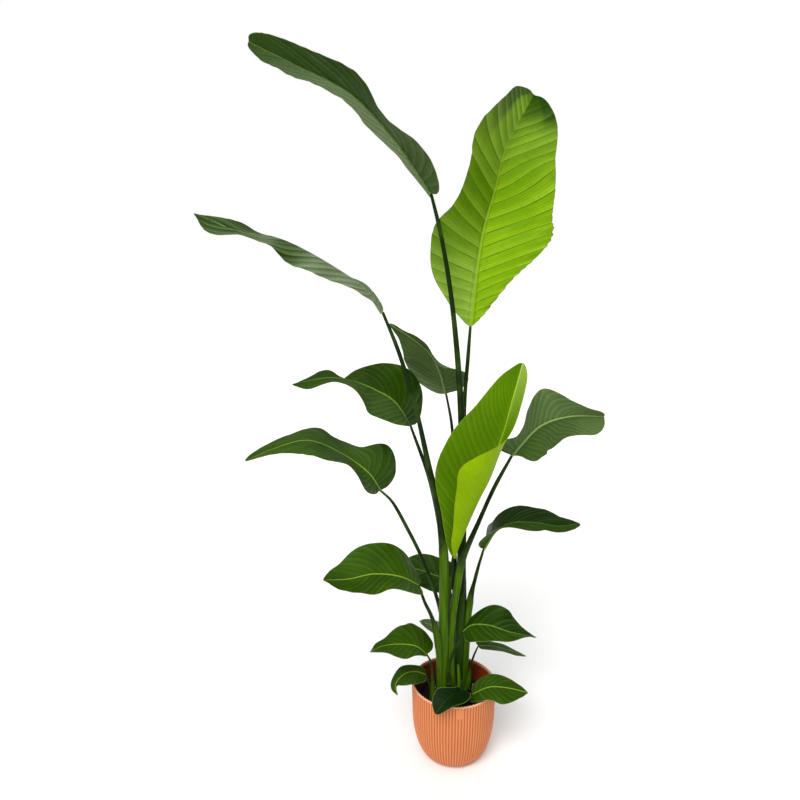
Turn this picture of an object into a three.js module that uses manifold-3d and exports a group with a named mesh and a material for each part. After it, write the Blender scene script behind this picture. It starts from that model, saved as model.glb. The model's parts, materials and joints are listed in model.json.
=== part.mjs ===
// Potted bird of paradise plant in a fluted plastic planter.
// Millimetres, +Z up. The origin is the centre of the planter's underside.
// The plant has two large shoots and two small ones. Each leaf is a long stalk, broad and
// sheathing at its foot, with a big paddle-shaped blade on its end.

import * as THREE from 'three';
import { mergeVertices } from 'three/addons/utils/BufferGeometryUtils.js';
import Module from 'manifold-3d';

const wasm = await Module();
wasm.setup();

// Planter
const PLANTER_RADIUS = 110;
const PLANTER_WAIST_RADIUS = 108;
const PLANTER_HEIGHT = 203;
const PLANTER_FOOT_RADIUS = 63;
const PLANTER_ROUND_HEIGHT = 128;
const PLANTER_WALL = 3.5;
const FLUTES = 88;
const FLUTE_DEPTH = 1.8;
const ROUND_RINGS = 5;

// Grow pot and potting soil inside the planter
const GROW_POT_RIM_RADIUS = 98;
const GROW_POT_FOOT_RADIUS = 57;
const GROW_POT_TOP = 150;
const GROW_POT_WALL = 1.5;
const SOIL_EDGE = 144;
const SOIL_TOP = 150;
const ROUND_SIDES = 32;
const SOIL_MOUND_SHARE = 0.6;

// Clearance between touching pieces, and the distance at which points are one
const GAP = 0.3;
const SAME_POINT = 1e-4;
const LEAST_TURN = 1e-6;

// Leaf blades
const BLADE_THICKNESS = 1.2;
const OUTLINE = [0.75, 0.97, 1, 0.96, 0.84, 0.55, 0.2];
const FLAT = [0, 0];
const LOBE_END = 0.4;
const POINT_START = 0.6;
const FOOT_ROUND = 0.08;
const TIP_ROUND = 0.14;
const CROWDING = 0.6;
const COLUMNS = [0.5, 1];
const COLUMNS_LARGE = [0.4, 0.72, 1];
const ROWS_LARGE = 12;
const WAVE_START = { left: 1, right: 2.5 };
const KEEL = 1.5;
const RIB_TIP = 1.2;
const RIB_SHARE_MOST = 0.25;

// Stalks
const STALK_SIDES = 8;
const STALK_STEP = 75;
const STALK_STEPS_LEAST = 5;
const STALK_END_SHARE = 0.7;
const STUB_SIDES = 20;
const STUB_DEPTH = 40;
const STUB_COVER = 2;

const GREEN = {
  dark: { color: 0x2c4f14, roughness: 0.38 },
  under: { color: 0x4c6432, roughness: 0.5 },
  bright: { color: 0x6f9c1c, roughness: 0.42 },
  stalk: { color: 0x2f5014, roughness: 0.4 },
};

// One entry for each leaf blade. The spine runs along the midrib from the stalk to the tip, and
// face is the side that the angles are measured from. left and right are the halves seen from
// there, looking to the tip: wide is the half width, as one number for the common outline or as
// a list from foot to tip, rise the degrees that the half stands up from the midrib, and turn
// how many more it curls through on its way to the margin. lean is the slant of the side veins
// at the foot, in the middle and at the tip, and wave the height and number of margin waves.
const LEAVES = [
  {
    name: 'leaf_01', green: 'dark', rows: 15, rib: 4, face: [0, 0, 1],
    spine: [[-70, 25, 1430], [-105, 15, 1480], [-155, 0, 1545], [-245, -30, 1630], [-360, -60, 1680],
      [-450, -75, 1718]],
    left: { wide: [52, 98, 98, 110, 92, 70, 45], rise: [5, 5, -12, -2, 8, 12, 20] },
    right: { wide: [85, 112, 110, 120, 118, 88, 48], rise: [15, 10, 5, 7, 5, -2, -14] },
    lean: [-35, 12, 30], wave: [2, 4],
  },
  {
    name: 'leaf_02', green: 'dark', rows: 15, rib: 4, face: [0, 0, 1],
    spine: [[-180, -35, 1165], [-215, -50, 1215], [-290, -70, 1270], [-395, -100, 1325],
      [-480, -122, 1340], [-565, -135, 1375]],
    left: {
      wide: [16, 62, 94, 88, 66, 62, 24],
      rise: [-10, -15, -20, -22, -25, -30, -32, -28, -17, -7, -24, -24, -15],
    },
    right: {
      wide: [20, 36, 72, 75, 58, 44, 22],
      rise: [60, 40, 15, -5, -20, -22, -20, -14, 4, 24, 29, 18, 0],
    },
    lean: [-35, 12, 35], wave: [3, 5],
  },
  {
    name: 'leaf_03', green: 'bright', rows: 16, rib: 5, face: [0, -1, 0],
    spine: [[30, 60, 1125], [45, 75, 1270], [60, 85, 1360], [87, 95, 1455], [107, 105, 1535],
      [180, 150, 1670]],
    left: {
      wide: [25, 60, 102, 121, 126, 103, 102, 116, 128, 108, 86, 66, 46],
      rise: [0, 0, 20, 40, 50, 46, 20],
    },
    right: { wide: [18, 78, 164, 150, 130, 104, 66], rise: [5, 5, 5, 5, 5, 5, -5] },
    lean: [0, 12, 38], wave: [3, 5],
  },
  {
    name: 'leaf_04', green: 'under', rows: 12, rib: 3.5, face: [0.4, 0.9, 0.2],
    spine: [[-20, 150, 940], [-40, 120, 1005], [-65, 90, 1055], [-115, 50, 1100], [-165, 20, 1135]],
    left: { wide: [8, 70, 80, 66, 45, 12, 12], rise: [0, 0, -30, -64, -45, -35, -20] },
    right: { wide: [80, 90, 86, 70, 46, 24, 16], rise: [40, 12, 0, -11, -5, 15, 30] },
    lean: [-38, 12, 35], wave: [2, 4],
  },
  {
    name: 'leaf_05', green: 'dark', rows: 13, rib: 3.5, face: [0, 0, 1],
    spine: [[-114, 84, 871], [-155, 75, 935], [-205, 65, 968], [-265, 45, 995], [-315, 30, 1003],
      [-400, 15, 990]],
    left: { wide: [16, 66, 94, 88, 44, 50, 22], rise: [0, -35, -33, -18, -4, -14, -10] },
    right: {
      wide: [54, 106, 94, 58, 50, 44, 20],
      rise: [30, 42, 50, 52, 48, 40, 26, -8, 10, 12, 3, -3, -10],
    },
    lean: [-45, 12, 35], wave: [2, 4],
  },
  {
    name: 'leaf_06', green: 'dark', rows: 13, rib: 3.5, face: [0, 0, 1],
    spine: [[-190, 60, 705], [-220, 50, 755], [-290, 30, 815], [-365, 5, 853], [-445, -25, 840],
      [-508, -40, 814]],
    left: { wide: [8, 84, 84, 90, 68, 42, 18], rise: [-20, -20, -4, -12, -10, 2, 7] },
    right: {
      wide: [46, 82, 98, 56, 71, 78, 76, 66, 54, 58, 60, 48, 34],
      rise: [55, 60, 20, 16, 4, 0, 2],
    },
    lean: [-42, 12, 35], wave: [2, 4],
  },
  {
    name: 'leaf_07', green: 'dark', rows: 11, rib: 3, face: [0, 0, 1],
    spine: [[-95, -60, 505], [-140, -75, 535], [-205, -97, 553], [-260, -120, 552], [-318, -140, 559]],
    left: { wide: [34, 58, 74, 76, 68, 54, 26], rise: [-14, -8, -1, -8, -5, 4, 20] },
    right: { wide: [68, 88, 84, 77, 60, 38, 16], rise: [5, 27, 42, 42, 31, 28, 17] },
    lean: [-45, 12, 30], wave: [2, 3],
  },
  {
    name: 'leaf_08', green: 'dark', rows: 9, rib: 2.5, face: [0, -0.6, 1],
    spine: [[-2, 88, 446], [-38, 95, 450], [-98, 107, 465], [-143, 117, 460]],
    left: { wide: 52, rise: [5, 5, 5] },
    right: { wide: 55, rise: [5, 5, 5] },
    lean: [-30, 12, 35], wave: [1, 2],
  },
  {
    name: 'leaf_09', green: 'under', rows: 8, rib: 2.5, face: [0, -0.2, 1],
    spine: [[-15, 60, 280], [-35, 70, 305], [-60, 80, 315], [-88, 88, 322]],
    left: { wide: 24, rise: [5, 5, 5] },
    right: { wide: 24, rise: [5, 5, 5] },
    lean: [-20, 12, 35], wave: [0, 1],
  },
  {
    name: 'leaf_10', green: 'dark', rows: 10, rib: 2.5, face: [0, 0, 1],
    spine: [[-72, -31, 297], [-100, -50, 333], [-145, -72, 353], [-188, -94, 360], [-214, -105, 352]],
    left: { wide: [8, 20, 36, 49, 48, 34, 10], rise: [-19, -25, -14, -16, -7, 12, 25] },
    right: {
      wide: [34, 42, 46, 49, 54, 48, 44, 36, 28, 24, 22, 16, 10],
      rise: [80, 66, 54, 50, 15, -5, -20],
    },
    lean: [-50, 12, 35], wave: [1, 2],
  },
  {
    name: 'leaf_11', green: 'dark', rows: 9, rib: 2.2, face: [-0.3, -0.5, 1],
    spine: [[-75, -30, 240], [-100, -40, 255], [-130, -60, 262], [-152, -75, 244], [-148, -86, 221]],
    left: { wide: [16, 28, 36, 34, 22, 4, 2.2], rise: [0, -10, -10] },
    right: { wide: [15, 19, 23, 23, 19, 13, 5], rise: [0, 0, -10] },
    lean: [-35, 12, 30], wave: [1, 2],
  },
  {
    name: 'leaf_12', green: 'dark', rows: 9, rib: 2.2, face: [0, -0.2, 1],
    spine: [[8, -88, 241], [-10, -106, 238], [-33, -124, 229], [-55, -140, 209]],
    left: { wide: [30, 37, 37, 32, 25, 15, 8], rise: [-10, -10, -5] },
    right: { wide: [10, 14, 22, 31, 38, 28, 10], rise: [15, 15, 10] },
    lean: [-35, -25, 10], wave: [1, 2],
  },
  {
    name: 'leaf_13', green: 'dark', rows: 10, rib: 2.2, face: [0, -0.15, 1],
    spine: [[45, -50, 198], [85, -63, 227], [130, -75, 233], [178, -85, 227]],
    left: { wide: [28, 40, 43, 37, 29, 18, 6], rise: [5, 5, 0] },
    right: { wide: [28, 37, 44, 54, 44, 24, 7], rise: [5, -3, -3] },
    lean: [-40, 12, 35], wave: [1, 2],
  },
  {
    name: 'leaf_14', green: 'dark', rows: 11, rib: 2.5, face: [0, 0, 1],
    spine: [[15, -60, 380], [35, -65, 400], [75, -72, 405], [125, -80, 392], [192, -90, 383]],
    left: { wide: [34, 46, 58, 54, 44, 25, 9], rise: [-11, -3, 28, 45, 20, 0, -18] },
    right: { wide: [30, 42, 50, 43, 34, 20, 9], rise: [-70, -40, -18, -11, -2, 18, 36] },
    lean: [-45, 12, 40], wave: [1, 2],
  },
  {
    name: 'leaf_15', green: 'dark', rows: 9, rib: 2.2, face: [0.2, 0.2, 1],
    spine: [[65, 20, 290], [95, 25, 287], [135, 30, 275], [195, 35, 250]],
    left: { wide: 30, rise: [5, 5, 0] },
    right: { wide: 30, rise: [5, 0, 0] },
    lean: [-30, 12, 35], wave: [1, 2],
  },
  {
    name: 'leaf_16', green: 'dark', rows: 11, rib: 3, face: [0, 0, 1],
    spine: [[75, 40, 555], [105, 35, 608], [150, 27, 632], [210, 18, 634], [255, 8, 630], [307, 0, 640]],
    left: {
      wide: [30, 94, 66, 72, 74, 70, 65, 61, 56, 46, 36, 26, 16],
      rise: [0, 6, 11, 19, 20, 14, -5],
    },
    right: { wide: [26, 56, 62, 72, 52, 45, 24], rise: [50, 26, 13, 5, 5, 5, 1] },
    lean: [-12, 12, 35], wave: [1, 3],
  },
  {
    name: 'leaf_17', green: 'under', rows: 12, rib: 3.5, face: [0, 1, 0.2],
    spine: [[135, 20, 810], [155, 25, 835], [205, 40, 880], [280, 60, 900], [378, 85, 895]],
    left: {
      wide: [10, 34, 76, 84, 88, 96, 104, 104, 76, 60, 52, 52, 50],
      rise: [32, 18, 10, 18, 16, -10, -25],
    },
    right: {
      wide: [44, 60, 52, 46, 68, 80, 84, 66, 46, 34, 27, 22, 18],
      rise: [10, -14, -42, -32, -15, 5, 15, 3, -13, -24, -30, -33, -35],
    },
    lean: [-30, -5, 20], wave: [2, 4],
  },
  {
    name: 'leaf_18', green: 'bright', rows: 16, rib: 4.5, face: [0, -1, 0],
    spine: [[-10, -30, 565], [20, -32, 655], [54, -34, 748], [84, -32, 824], [106, -28, 888],
      [120, -22, 943], [150, 5, 1043]],
    left: { wide: [20, 66, 123, 122, 95, 58, 25], rise: [15, 15, 10, 0, 0, 5, 20] },
    right: {
      wide: [20, 45, 66, 98, 132, 172, 136, 95, 66, 62, 56, 42, 24],
      rise: [90, 88, 85, 84, 82, 80, 70],
      turn: [95, 95, 92, 76, 14, 0, 0],
    },
    lean: [5, 12, 40], wave: [1, 3],
  },
];

// The shoots: where each stands in the soil, and its stalks from the soil up. A stalk without a
// leaf is a short leafless sheath. foot and neck are the radii at the two ends, and slims has the
// heights between which the broad sheath narrows to the neck.
const SHOOTS = [
  {
    name: 'shoot_left', at: [-30, -18], radius: 17,
    stalks: [
      { leaf: 'leaf_02', foot: 12.5, neck: 5.2, slims: [450, 1000], via: [[-30, -20, 300],
        [-30, -22, 445], [-32, -25, 555], [-46, -28, 685], [-70, -30, 790], [-106, -30, 950],
        [-146, -30, 1080]] },
      { leaf: 'leaf_18', foot: 10, neck: 5, slims: [200, 500], via: [[-27, -20, 300],
        [-20, -27, 445]] },
      { leaf: 'leaf_06', foot: 9, neck: 5, slims: [220, 400], via: [[-30, -8, 300], [-38, 8, 400],
        [-81, 30, 525], [-123, 45, 610], [-163, 55, 680]] },
      { leaf: 'leaf_07', foot: 10, neck: 4.6, slims: [320, 430], via: [[-38, -26, 280],
        [-46, -34, 345], [-62, -41, 410], [-80, -50, 455]] },
    ],
  },
  {
    name: 'shoot_right', at: [14, 18], radius: 26,
    stalks: [
      { leaf: 'leaf_01', foot: 12, neck: 5.5, slims: [450, 1350], via: [[14, 15, 310], [16, 15, 530],
        [13, 10, 750], [5, 10, 950], [-20, 15, 1190], [-48, 20, 1345]] },
      { leaf: 'leaf_03', foot: 10, neck: 5, slims: [350, 900], via: [[24, 30, 300], [21, 40, 525],
        [19, 50, 945], [25, 55, 1045]] },
      { leaf: 'leaf_04', foot: 9, neck: 4, slims: [300, 800], via: [[8, 38, 300], [1, 60, 530],
        [-5, 120, 850]] },
      { leaf: 'leaf_05', foot: 9, neck: 5.2, slims: [300, 700], via: [[0, 30, 300], [-25, 50, 520],
        [-65, 70, 730]] },
      { leaf: 'leaf_16', foot: 9.5, neck: 5, slims: [405, 475], via: [[32, 18, 280], [35, 22, 365],
        [44, 25, 438], [52, 30, 470], [63, 35, 515]] },
      { leaf: 'leaf_17', foot: 9.5, neck: 5.3, slims: [480, 690], via: [[-4, -6, 200], [-11, -7, 325],
        [2, -10, 465], [15, -10, 545], [57, 0, 650], [92, 10, 730]] },
      { leaf: 'leaf_08', foot: 6, neck: 3.5, slims: [250, 350], via: [[14, 40, 250], [14, 66, 350]] },
      { leaf: 'leaf_09', foot: 6, neck: 3.5, slims: [180, 260], via: [[-2, 34, 220]] },
      { leaf: 'leaf_15', foot: 7, neck: 3.4, slims: [180, 245], via: [[38, 12, 180], [46, 15, 235],
        [53, 17, 262]] },
    ],
  },
  {
    name: 'shoot_side', at: [-58, -28], radius: 9,
    stalks: [
      { leaf: 'leaf_10', foot: 6, neck: 3.4, slims: [190, 270], via: [[-56, -26, 200], [-58, -26, 250],
        [-62, -27, 275]] },
      { leaf: 'leaf_11', foot: 5.5, neck: 3, slims: [160, 210], via: [[-60, -28, 190],
        [-66, -28, 215]] },
    ],
  },
  {
    name: 'shoot_front', at: [12, -40], radius: 15,
    stalks: [
      { leaf: 'leaf_12', foot: 6, neck: 3, slims: [190, 240], via: [[14, -42, 200], [17, -52, 234],
        [14, -68, 246]] },
      { leaf: 'leaf_13', foot: 6, neck: 3, slims: [160, 200], via: [[22, -42, 180], [32, -45, 195]] },
      { leaf: 'leaf_14', foot: 5.5, neck: 4.2, slims: [180, 300], via: [[-6, -42, 205],
        [-19, -50, 268], [-11, -52, 305], [3, -56, 345]] },
      { foot: 7, neck: 1.2, slims: [170, 330], via: [[11, -45, 215], [6, -48, 280]] },
    ],
  },
];

const DEGREE = Math.PI / 180;
const vector = (point) => new THREE.Vector3(...point);
const leafNamed = (name) => LEAVES.find((leaf) => leaf.name === name);
const spineCurve = (leaf) => new THREE.CatmullRomCurve3(leaf.spine.map(vector), false, 'centripetal');

/** Value at share t of evenly spaced values, on a smooth curve through them. */
function along(values, t) {
  const last = values.length - 1;
  const place = Math.min(Math.max(t, 0), 1) * last;
  const index = Math.min(Math.floor(place), last - 1);
  const [before, from, to, after] = [-1, 0, 1, 2]
    .map((step) => values[Math.min(Math.max(index + step, 0), last)]);
  const share = place - index;
  const slopeFrom = (to - before) / 2;
  const slopeTo = (after - from) / 2;
  return from + share * (slopeFrom + share * (3 * (to - from) - 2 * slopeFrom - slopeTo
    + share * (2 * (from - to) + slopeFrom + slopeTo)));
}

/** Closed solid through rings of points, one above the other, with its two ends filled in. */
function loft(rings) {
  const sides = rings[0].length;
  const centre = (ring) => ring.reduce((sum, point) => sum.add(point), new THREE.Vector3())
    .divideScalar(sides);
  const points = [...rings.flat(), centre(rings[0]), centre(rings[rings.length - 1])];
  const faces = [];
  for (let ring = 0; ring < rings.length - 1; ring += 1) {
    for (let side = 0; side < sides; side += 1) {
      const next = (side + 1) % sides;
      const low = ring * sides;
      const high = low + sides;
      faces.push(low + side, low + next, high + next, low + side, high + next, high + side);
    }
  }
  const last = (rings.length - 1) * sides;
  for (let side = 0; side < sides; side += 1) {
    const next = (side + 1) % sides;
    faces.push(points.length - 2, next, side);
    faces.push(points.length - 1, last + side, last + next);
  }
  return geometryFrom(points, faces);
}

function geometryFrom(points, faces) {
  const geometry = new THREE.BufferGeometry();
  const places = points.flatMap((point) => point.toArray());
  geometry.setAttribute('position', new THREE.Float32BufferAttribute(places, 3));
  geometry.setIndex(faces);
  return geometry;
}

function toManifold(geometry) {
  const bare = geometry.clone();
  bare.deleteAttribute('normal');
  bare.deleteAttribute('uv');
  const merged = mergeVertices(bare, SAME_POINT);
  return new wasm.Manifold(new wasm.Mesh({
    numProp: 3,
    vertProperties: new Float32Array(merged.attributes.position.array),
    triVerts: new Uint32Array(merged.index.array),
  }));
}

function fromManifold(solid) {
  const mesh = solid.getMesh();
  const geometry = new THREE.BufferGeometry();
  geometry.setAttribute('position', new THREE.BufferAttribute(new Float32Array(mesh.vertProperties), 3));
  geometry.setIndex(new THREE.BufferAttribute(new Uint32Array(mesh.triVerts), 1));
  return geometry;
}

/** Ring of a round piece that stands on the Z axis; every other point can lie deeper by a flute. */
function roundRing(radius, height, sides, flute = 0) {
  return Array.from({ length: sides }, (_, index) => {
    const angle = (index / sides) * 2 * Math.PI;
    const reach = radius - (index % 2) * flute;
    return new THREE.Vector3(reach * Math.cos(angle), reach * Math.sin(angle), height);
  });
}

/** Outer radius of the planter at a height: a quarter ellipse, then a slightly flared wall. */
function planterRadius(height) {
  const drop = Math.max(0, 1 - height / PLANTER_ROUND_HEIGHT);
  const flare = Math.max(0, height - PLANTER_ROUND_HEIGHT) / (PLANTER_HEIGHT - PLANTER_ROUND_HEIGHT);
  return PLANTER_FOOT_RADIUS + (PLANTER_WAIST_RADIUS - PLANTER_FOOT_RADIUS) * Math.sqrt(1 - drop * drop)
    + (PLANTER_RADIUS - PLANTER_WAIST_RADIUS) * flare;
}

function planter() {
  const sides = FLUTES * 2;
  const ring = (inset, height, level) => {
    const radius = planterRadius(level) - inset;
    return roundRing(radius, height, sides, (FLUTE_DEPTH * radius) / PLANTER_RADIUS);
  };
  const roundLevels = Array.from({ length: ROUND_RINGS + 1 }, (_, index) => (
    PLANTER_ROUND_HEIGHT * (1 - Math.cos((index / ROUND_RINGS) * Math.PI / 2))
  ));
  const outer = roundLevels.map((level) => ring(0, level, level));
  const inner = roundLevels.slice(1).map((level) => ring(PLANTER_WALL, level, level)).reverse();
  const floor = roundRing(PLANTER_FOOT_RADIUS, PLANTER_WALL, sides);
  return loft([...outer, ring(0, PLANTER_HEIGHT, PLANTER_HEIGHT),
    ring(PLANTER_WALL, PLANTER_HEIGHT, PLANTER_HEIGHT), ...inner, floor]);
}

/** Outer radius of the tapered grow pot at a height. */
function growPotRadius(height) {
  const rise = (height - PLANTER_WALL - GAP) / (GROW_POT_TOP - PLANTER_WALL - GAP);
  return THREE.MathUtils.lerp(GROW_POT_FOOT_RADIUS, GROW_POT_RIM_RADIUS, rise);
}

function growPot() {
  const bottom = PLANTER_WALL + GAP;
  const floor = bottom + GROW_POT_WALL;
  return loft([
    roundRing(growPotRadius(bottom), bottom, ROUND_SIDES),
    roundRing(growPotRadius(GROW_POT_TOP), GROW_POT_TOP, ROUND_SIDES),
    roundRing(growPotRadius(GROW_POT_TOP) - GROW_POT_WALL, GROW_POT_TOP, ROUND_SIDES),
    roundRing(growPotRadius(floor) - GROW_POT_WALL, floor, ROUND_SIDES),
  ]);
}

/** Upright round stub that a shoot stands on, from below the surface to just under it. */
function stub(shoot, grow = 0) {
  const top = SOIL_EDGE - STUB_COVER;
  const ring = (height) => roundRing(shoot.radius + grow, height, STUB_SIDES)
    .map((point) => point.add(new THREE.Vector3(shoot.at[0], shoot.at[1], 0)));
  return loft([ring(top - STUB_DEPTH - grow), ring(grow ? SOIL_TOP + STUB_COVER : top)]);
}

/** Potting soil, with a plain hole for each shoot. */
function soil() {
  const bottom = PLANTER_WALL + GROW_POT_WALL + 2 * GAP;
  const inset = GROW_POT_WALL + GAP;
  const body = loft([
    roundRing(growPotRadius(bottom) - inset, bottom, ROUND_SIDES),
    roundRing(growPotRadius(SOIL_EDGE) - inset, SOIL_EDGE, ROUND_SIDES),
    roundRing(growPotRadius(SOIL_EDGE) * SOIL_MOUND_SHARE, SOIL_TOP, ROUND_SIDES),
  ]);
  return fromManifold(SHOOTS.reduce(
    (rest, shoot) => rest.subtract(toManifold(stub(shoot, GAP))),
    toManifold(body),
  ));
}

/** Radius of a stalk at a height, broad over the sheath and slim above it. */
function stalkRadius(stalk, height) {
  const share = 1 - THREE.MathUtils.smoothstep(height, ...stalk.slims);
  return stalk.neck + (stalk.foot - stalk.neck) * share;
}

/** Line that a stalk runs along, from below the soil to the foot of its blade, or to its own tip. */
function stalkCurve(shoot, stalk) {
  const bottom = new THREE.Vector3(...shoot.at, SOIL_EDGE - STUB_COVER - STUB_DEPTH / 2);
  const points = stalk.via.map(vector);
  const start = points[0].clone().add(bottom).divideScalar(2).setZ(SOIL_TOP);
  if (stalk.leaf) {
    const spine = spineCurve(leafNamed(stalk.leaf));
    points.push(spine.getPointAt(0).addScaledVector(spine.getTangentAt(0), -GAP));
  }
  return new THREE.CatmullRomCurve3([bottom, start, ...points], false, 'centripetal');
}

/** One stalk, squared off at its end to meet its blade. */
function stalkTube(shoot, stalk) {
  const curve = stalkCurve(shoot, stalk);
  const endHeading = stalk.leaf ? spineCurve(leafNamed(stalk.leaf)).getTangentAt(0) : curve.getTangentAt(1);
  const steps = Math.max(STALK_STEPS_LEAST, Math.round(curve.getLength() / STALK_STEP));
  const rings = [];
  let across = new THREE.Vector3(1, 0, 0);
  for (let step = 0; step <= steps; step += 1) {
    const t = step / steps;
    const heading = step < steps ? curve.getTangentAt(t) : endHeading;
    across = across.clone().addScaledVector(heading, -across.dot(heading)).normalize();
    const side = heading.clone().cross(across);
    const centre = curve.getPointAt(t);
    const radius = stalkRadius(stalk, centre.z) * (step === steps && stalk.leaf ? STALK_END_SHARE : 1);
    rings.push(Array.from({ length: STALK_SIDES }, (_, index) => {
      const angle = (index / STALK_SIDES) * 2 * Math.PI;
      return centre.clone().addScaledVector(across, radius * Math.cos(angle))
        .addScaledVector(side, radius * Math.sin(angle));
    }));
  }
  return loft(rings);
}

function shootBody(shoot) {
  return fromManifold(shoot.stalks.reduce(
    (body, stalk) => body.add(toManifold(stalkTube(shoot, stalk))),
    toManifold(stub(shoot)),
  ));
}

/** Half width of one side of a blade at share t of the midrib, rounded off at the two ends. */
function halfWidth(leaf, half, t) {
  const full = Array.isArray(half.wide) ? along(half.wide, t) : half.wide * along(OUTLINE, t);
  const foot = Math.max(0, 1 - t / FOOT_ROUND);
  const tip = Math.max(0, 1 - (1 - t) / TIP_ROUND);
  return Math.max(leaf.rib, full * Math.sqrt((1 - foot * foot) * (1 - tip * tip)));
}

/** Slant of the side veins at share t: back into the lobes, then on towards the tip. */
function veinLean(leaf, t) {
  const [foot, middle, tip] = leaf.lean;
  const lobe = Math.max(0, 1 - t / LOBE_END) ** 2;
  const point = Math.max(0, (t - POINT_START) / (1 - POINT_START)) ** 2;
  return (middle + (foot - middle) * lobe + (tip - middle) * point) * DEGREE;
}

/** Way a half's surface faces at a share out of its width. */
function sheetNormal(up, outward, half, t, out) {
  const angle = (along(half.rise, t) + along(half.turn ?? FLAT, t) * out) * DEGREE;
  return up.clone().multiplyScalar(Math.cos(angle)).addScaledVector(outward, -Math.sin(angle));
}

/** Point and normal of a blade's middle layer; s runs from -1 at the left margin to 1 at the right. */
function bladePoint(leaf, curve, t, s) {
  const heading = curve.getTangentAt(t);
  const up = vector(leaf.face).addScaledVector(heading, -vector(leaf.face).dot(heading)).normalize();
  const rightward = heading.clone().cross(up);
  const leftward = rightward.clone().negate();
  if (s === 0) {
    const normal = sheetNormal(up, leftward, leaf.left, t, 0)
      .add(sheetNormal(up, rightward, leaf.right, t, 0));
    return { point: curve.getPointAt(t), normal: normal.normalize() };
  }
  const [half, outward] = s < 0 ? [leaf.left, leftward] : [leaf.right, rightward];
  const out = Math.abs(s);
  const lean = veinLean(leaf, t);
  const width = halfWidth(leaf, half, t);
  const rise = along(half.rise, t) * DEGREE;
  const turn = along(half.turn ?? FLAT, t) * DEGREE || LEAST_TURN;
  const reach = (width * Math.cos(lean)) / turn;
  const [waveHeight, waves] = leaf.wave;
  const phase = 2 * Math.PI * waves * t + (s < 0 ? WAVE_START.left : WAVE_START.right);
  const wave = waveHeight * out * out * Math.sin(phase) * Math.sin(Math.PI * t);
  const ribShare = Math.min(RIB_SHARE_MOST, leaf.rib / width);
  const normal = sheetNormal(up, outward, half, t, out);
  const point = curve.getPointAt(t)
    .addScaledVector(outward, reach * (Math.sin(rise + turn * out) - Math.sin(rise)))
    .addScaledVector(up, reach * (Math.cos(rise) - Math.cos(rise + turn * out)))
    .addScaledVector(heading, (width - leaf.rib) * Math.sin(lean) * Math.max(0, out - ribShare))
    .addScaledVector(normal, wave);
  return { point, normal };
}

/** A leaf blade: two like sheets a thickness apart, closed along the margin, with a keel below. */
function blade(leaf) {
  const curve = spineCurve(leaf);
  const outs = leaf.rows >= ROWS_LARGE ? COLUMNS_LARGE : COLUMNS;
  const columns = outs.length * 2 + 3;
  const top = [];
  const bottom = [];
  for (let row = 0; row <= leaf.rows; row += 1) {
    const share = row / leaf.rows;
    const t = THREE.MathUtils.lerp(share, (1 - Math.cos(Math.PI * share)) / 2, CROWDING);
    const ribHalf = THREE.MathUtils.lerp(leaf.rib, RIB_TIP, t);
    const [leftRib, rightRib] = [leaf.left, leaf.right]
      .map((half) => Math.min(RIB_SHARE_MOST, ribHalf / halfWidth(leaf, half, t)));
    for (const s of [...outs.map((out) => -out).reverse(), -leftRib, 0, rightRib, ...outs]) {
      const { point, normal } = bladePoint(leaf, curve, t, s);
      const keel = s === 0 ? KEEL * ribHalf : 0;
      top.push(point.clone().addScaledVector(normal, BLADE_THICKNESS / 2));
      bottom.push(point.clone().addScaledVector(normal, -BLADE_THICKNESS / 2 - keel));
    }
  }
  const faces = [];
  const under = top.length;
  const quad = (a, b, c, d) => faces.push(a, b, c, a, c, d);
  for (let row = 0; row < leaf.rows; row += 1) {
    for (let column = 0; column < columns - 1; column += 1) {
      const at = row * columns + column;
      quad(at, at + 1, at + 1 + columns, at + columns);
      faces.push(under + at, under + at + columns + 1, under + at + 1);
      faces.push(under + at, under + at + columns, under + at + columns + 1);
    }
    const left = row * columns;
    const right = left + columns - 1;
    quad(left, left + columns, under + left + columns, under + left);
    quad(right + columns, right, under + right, under + right + columns);
  }
  for (let column = 0; column < columns - 1; column += 1) {
    const last = leaf.rows * columns + column;
    quad(column + 1, column, under + column, under + column + 1);
    quad(last, last + 1, under + last + 1, under + last);
  }
  return geometryFrom([...top, ...bottom], faces);
}

const plant = new THREE.Group();

/** Adds a named piece with its own material to the plant. */
function addPiece(name, geometry, { color, roughness }) {
  const solid = geometry.toNonIndexed();
  solid.computeVertexNormals();
  const mesh = new THREE.Mesh(solid, new THREE.MeshStandardMaterial({ color, roughness, metalness: 0 }));
  mesh.name = name;
  plant.add(mesh);
}

addPiece('planter', planter(), { color: 0xd98a5e, roughness: 0.55 });
addPiece('grow_pot', growPot(), { color: 0x1b1b1b, roughness: 0.6 });
addPiece('soil', soil(), { color: 0x241a12, roughness: 0.95 });
for (const shoot of SHOOTS) {
  addPiece(shoot.name, shootBody(shoot), GREEN.stalk);
}
for (const leaf of LEAVES) {
  addPiece(leaf.name, blade(leaf), GREEN[leaf.green]);
}

export default plant;
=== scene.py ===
"""A bird of paradise plant in a fluted planter: its looks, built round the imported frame.

Lengths are metres, except in the tables of sizes, which hold millimetres like the part itself.
The blades and stalks repeat the part's own lines and angles on a much finer net, and add the
pleats between the side veins, the rounded midrib, the channelled stalks and the loose soil.
"""

import json
import logging
import math
from dataclasses import dataclass, field
from enum import Enum
from typing import Any, Sequence

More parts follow.
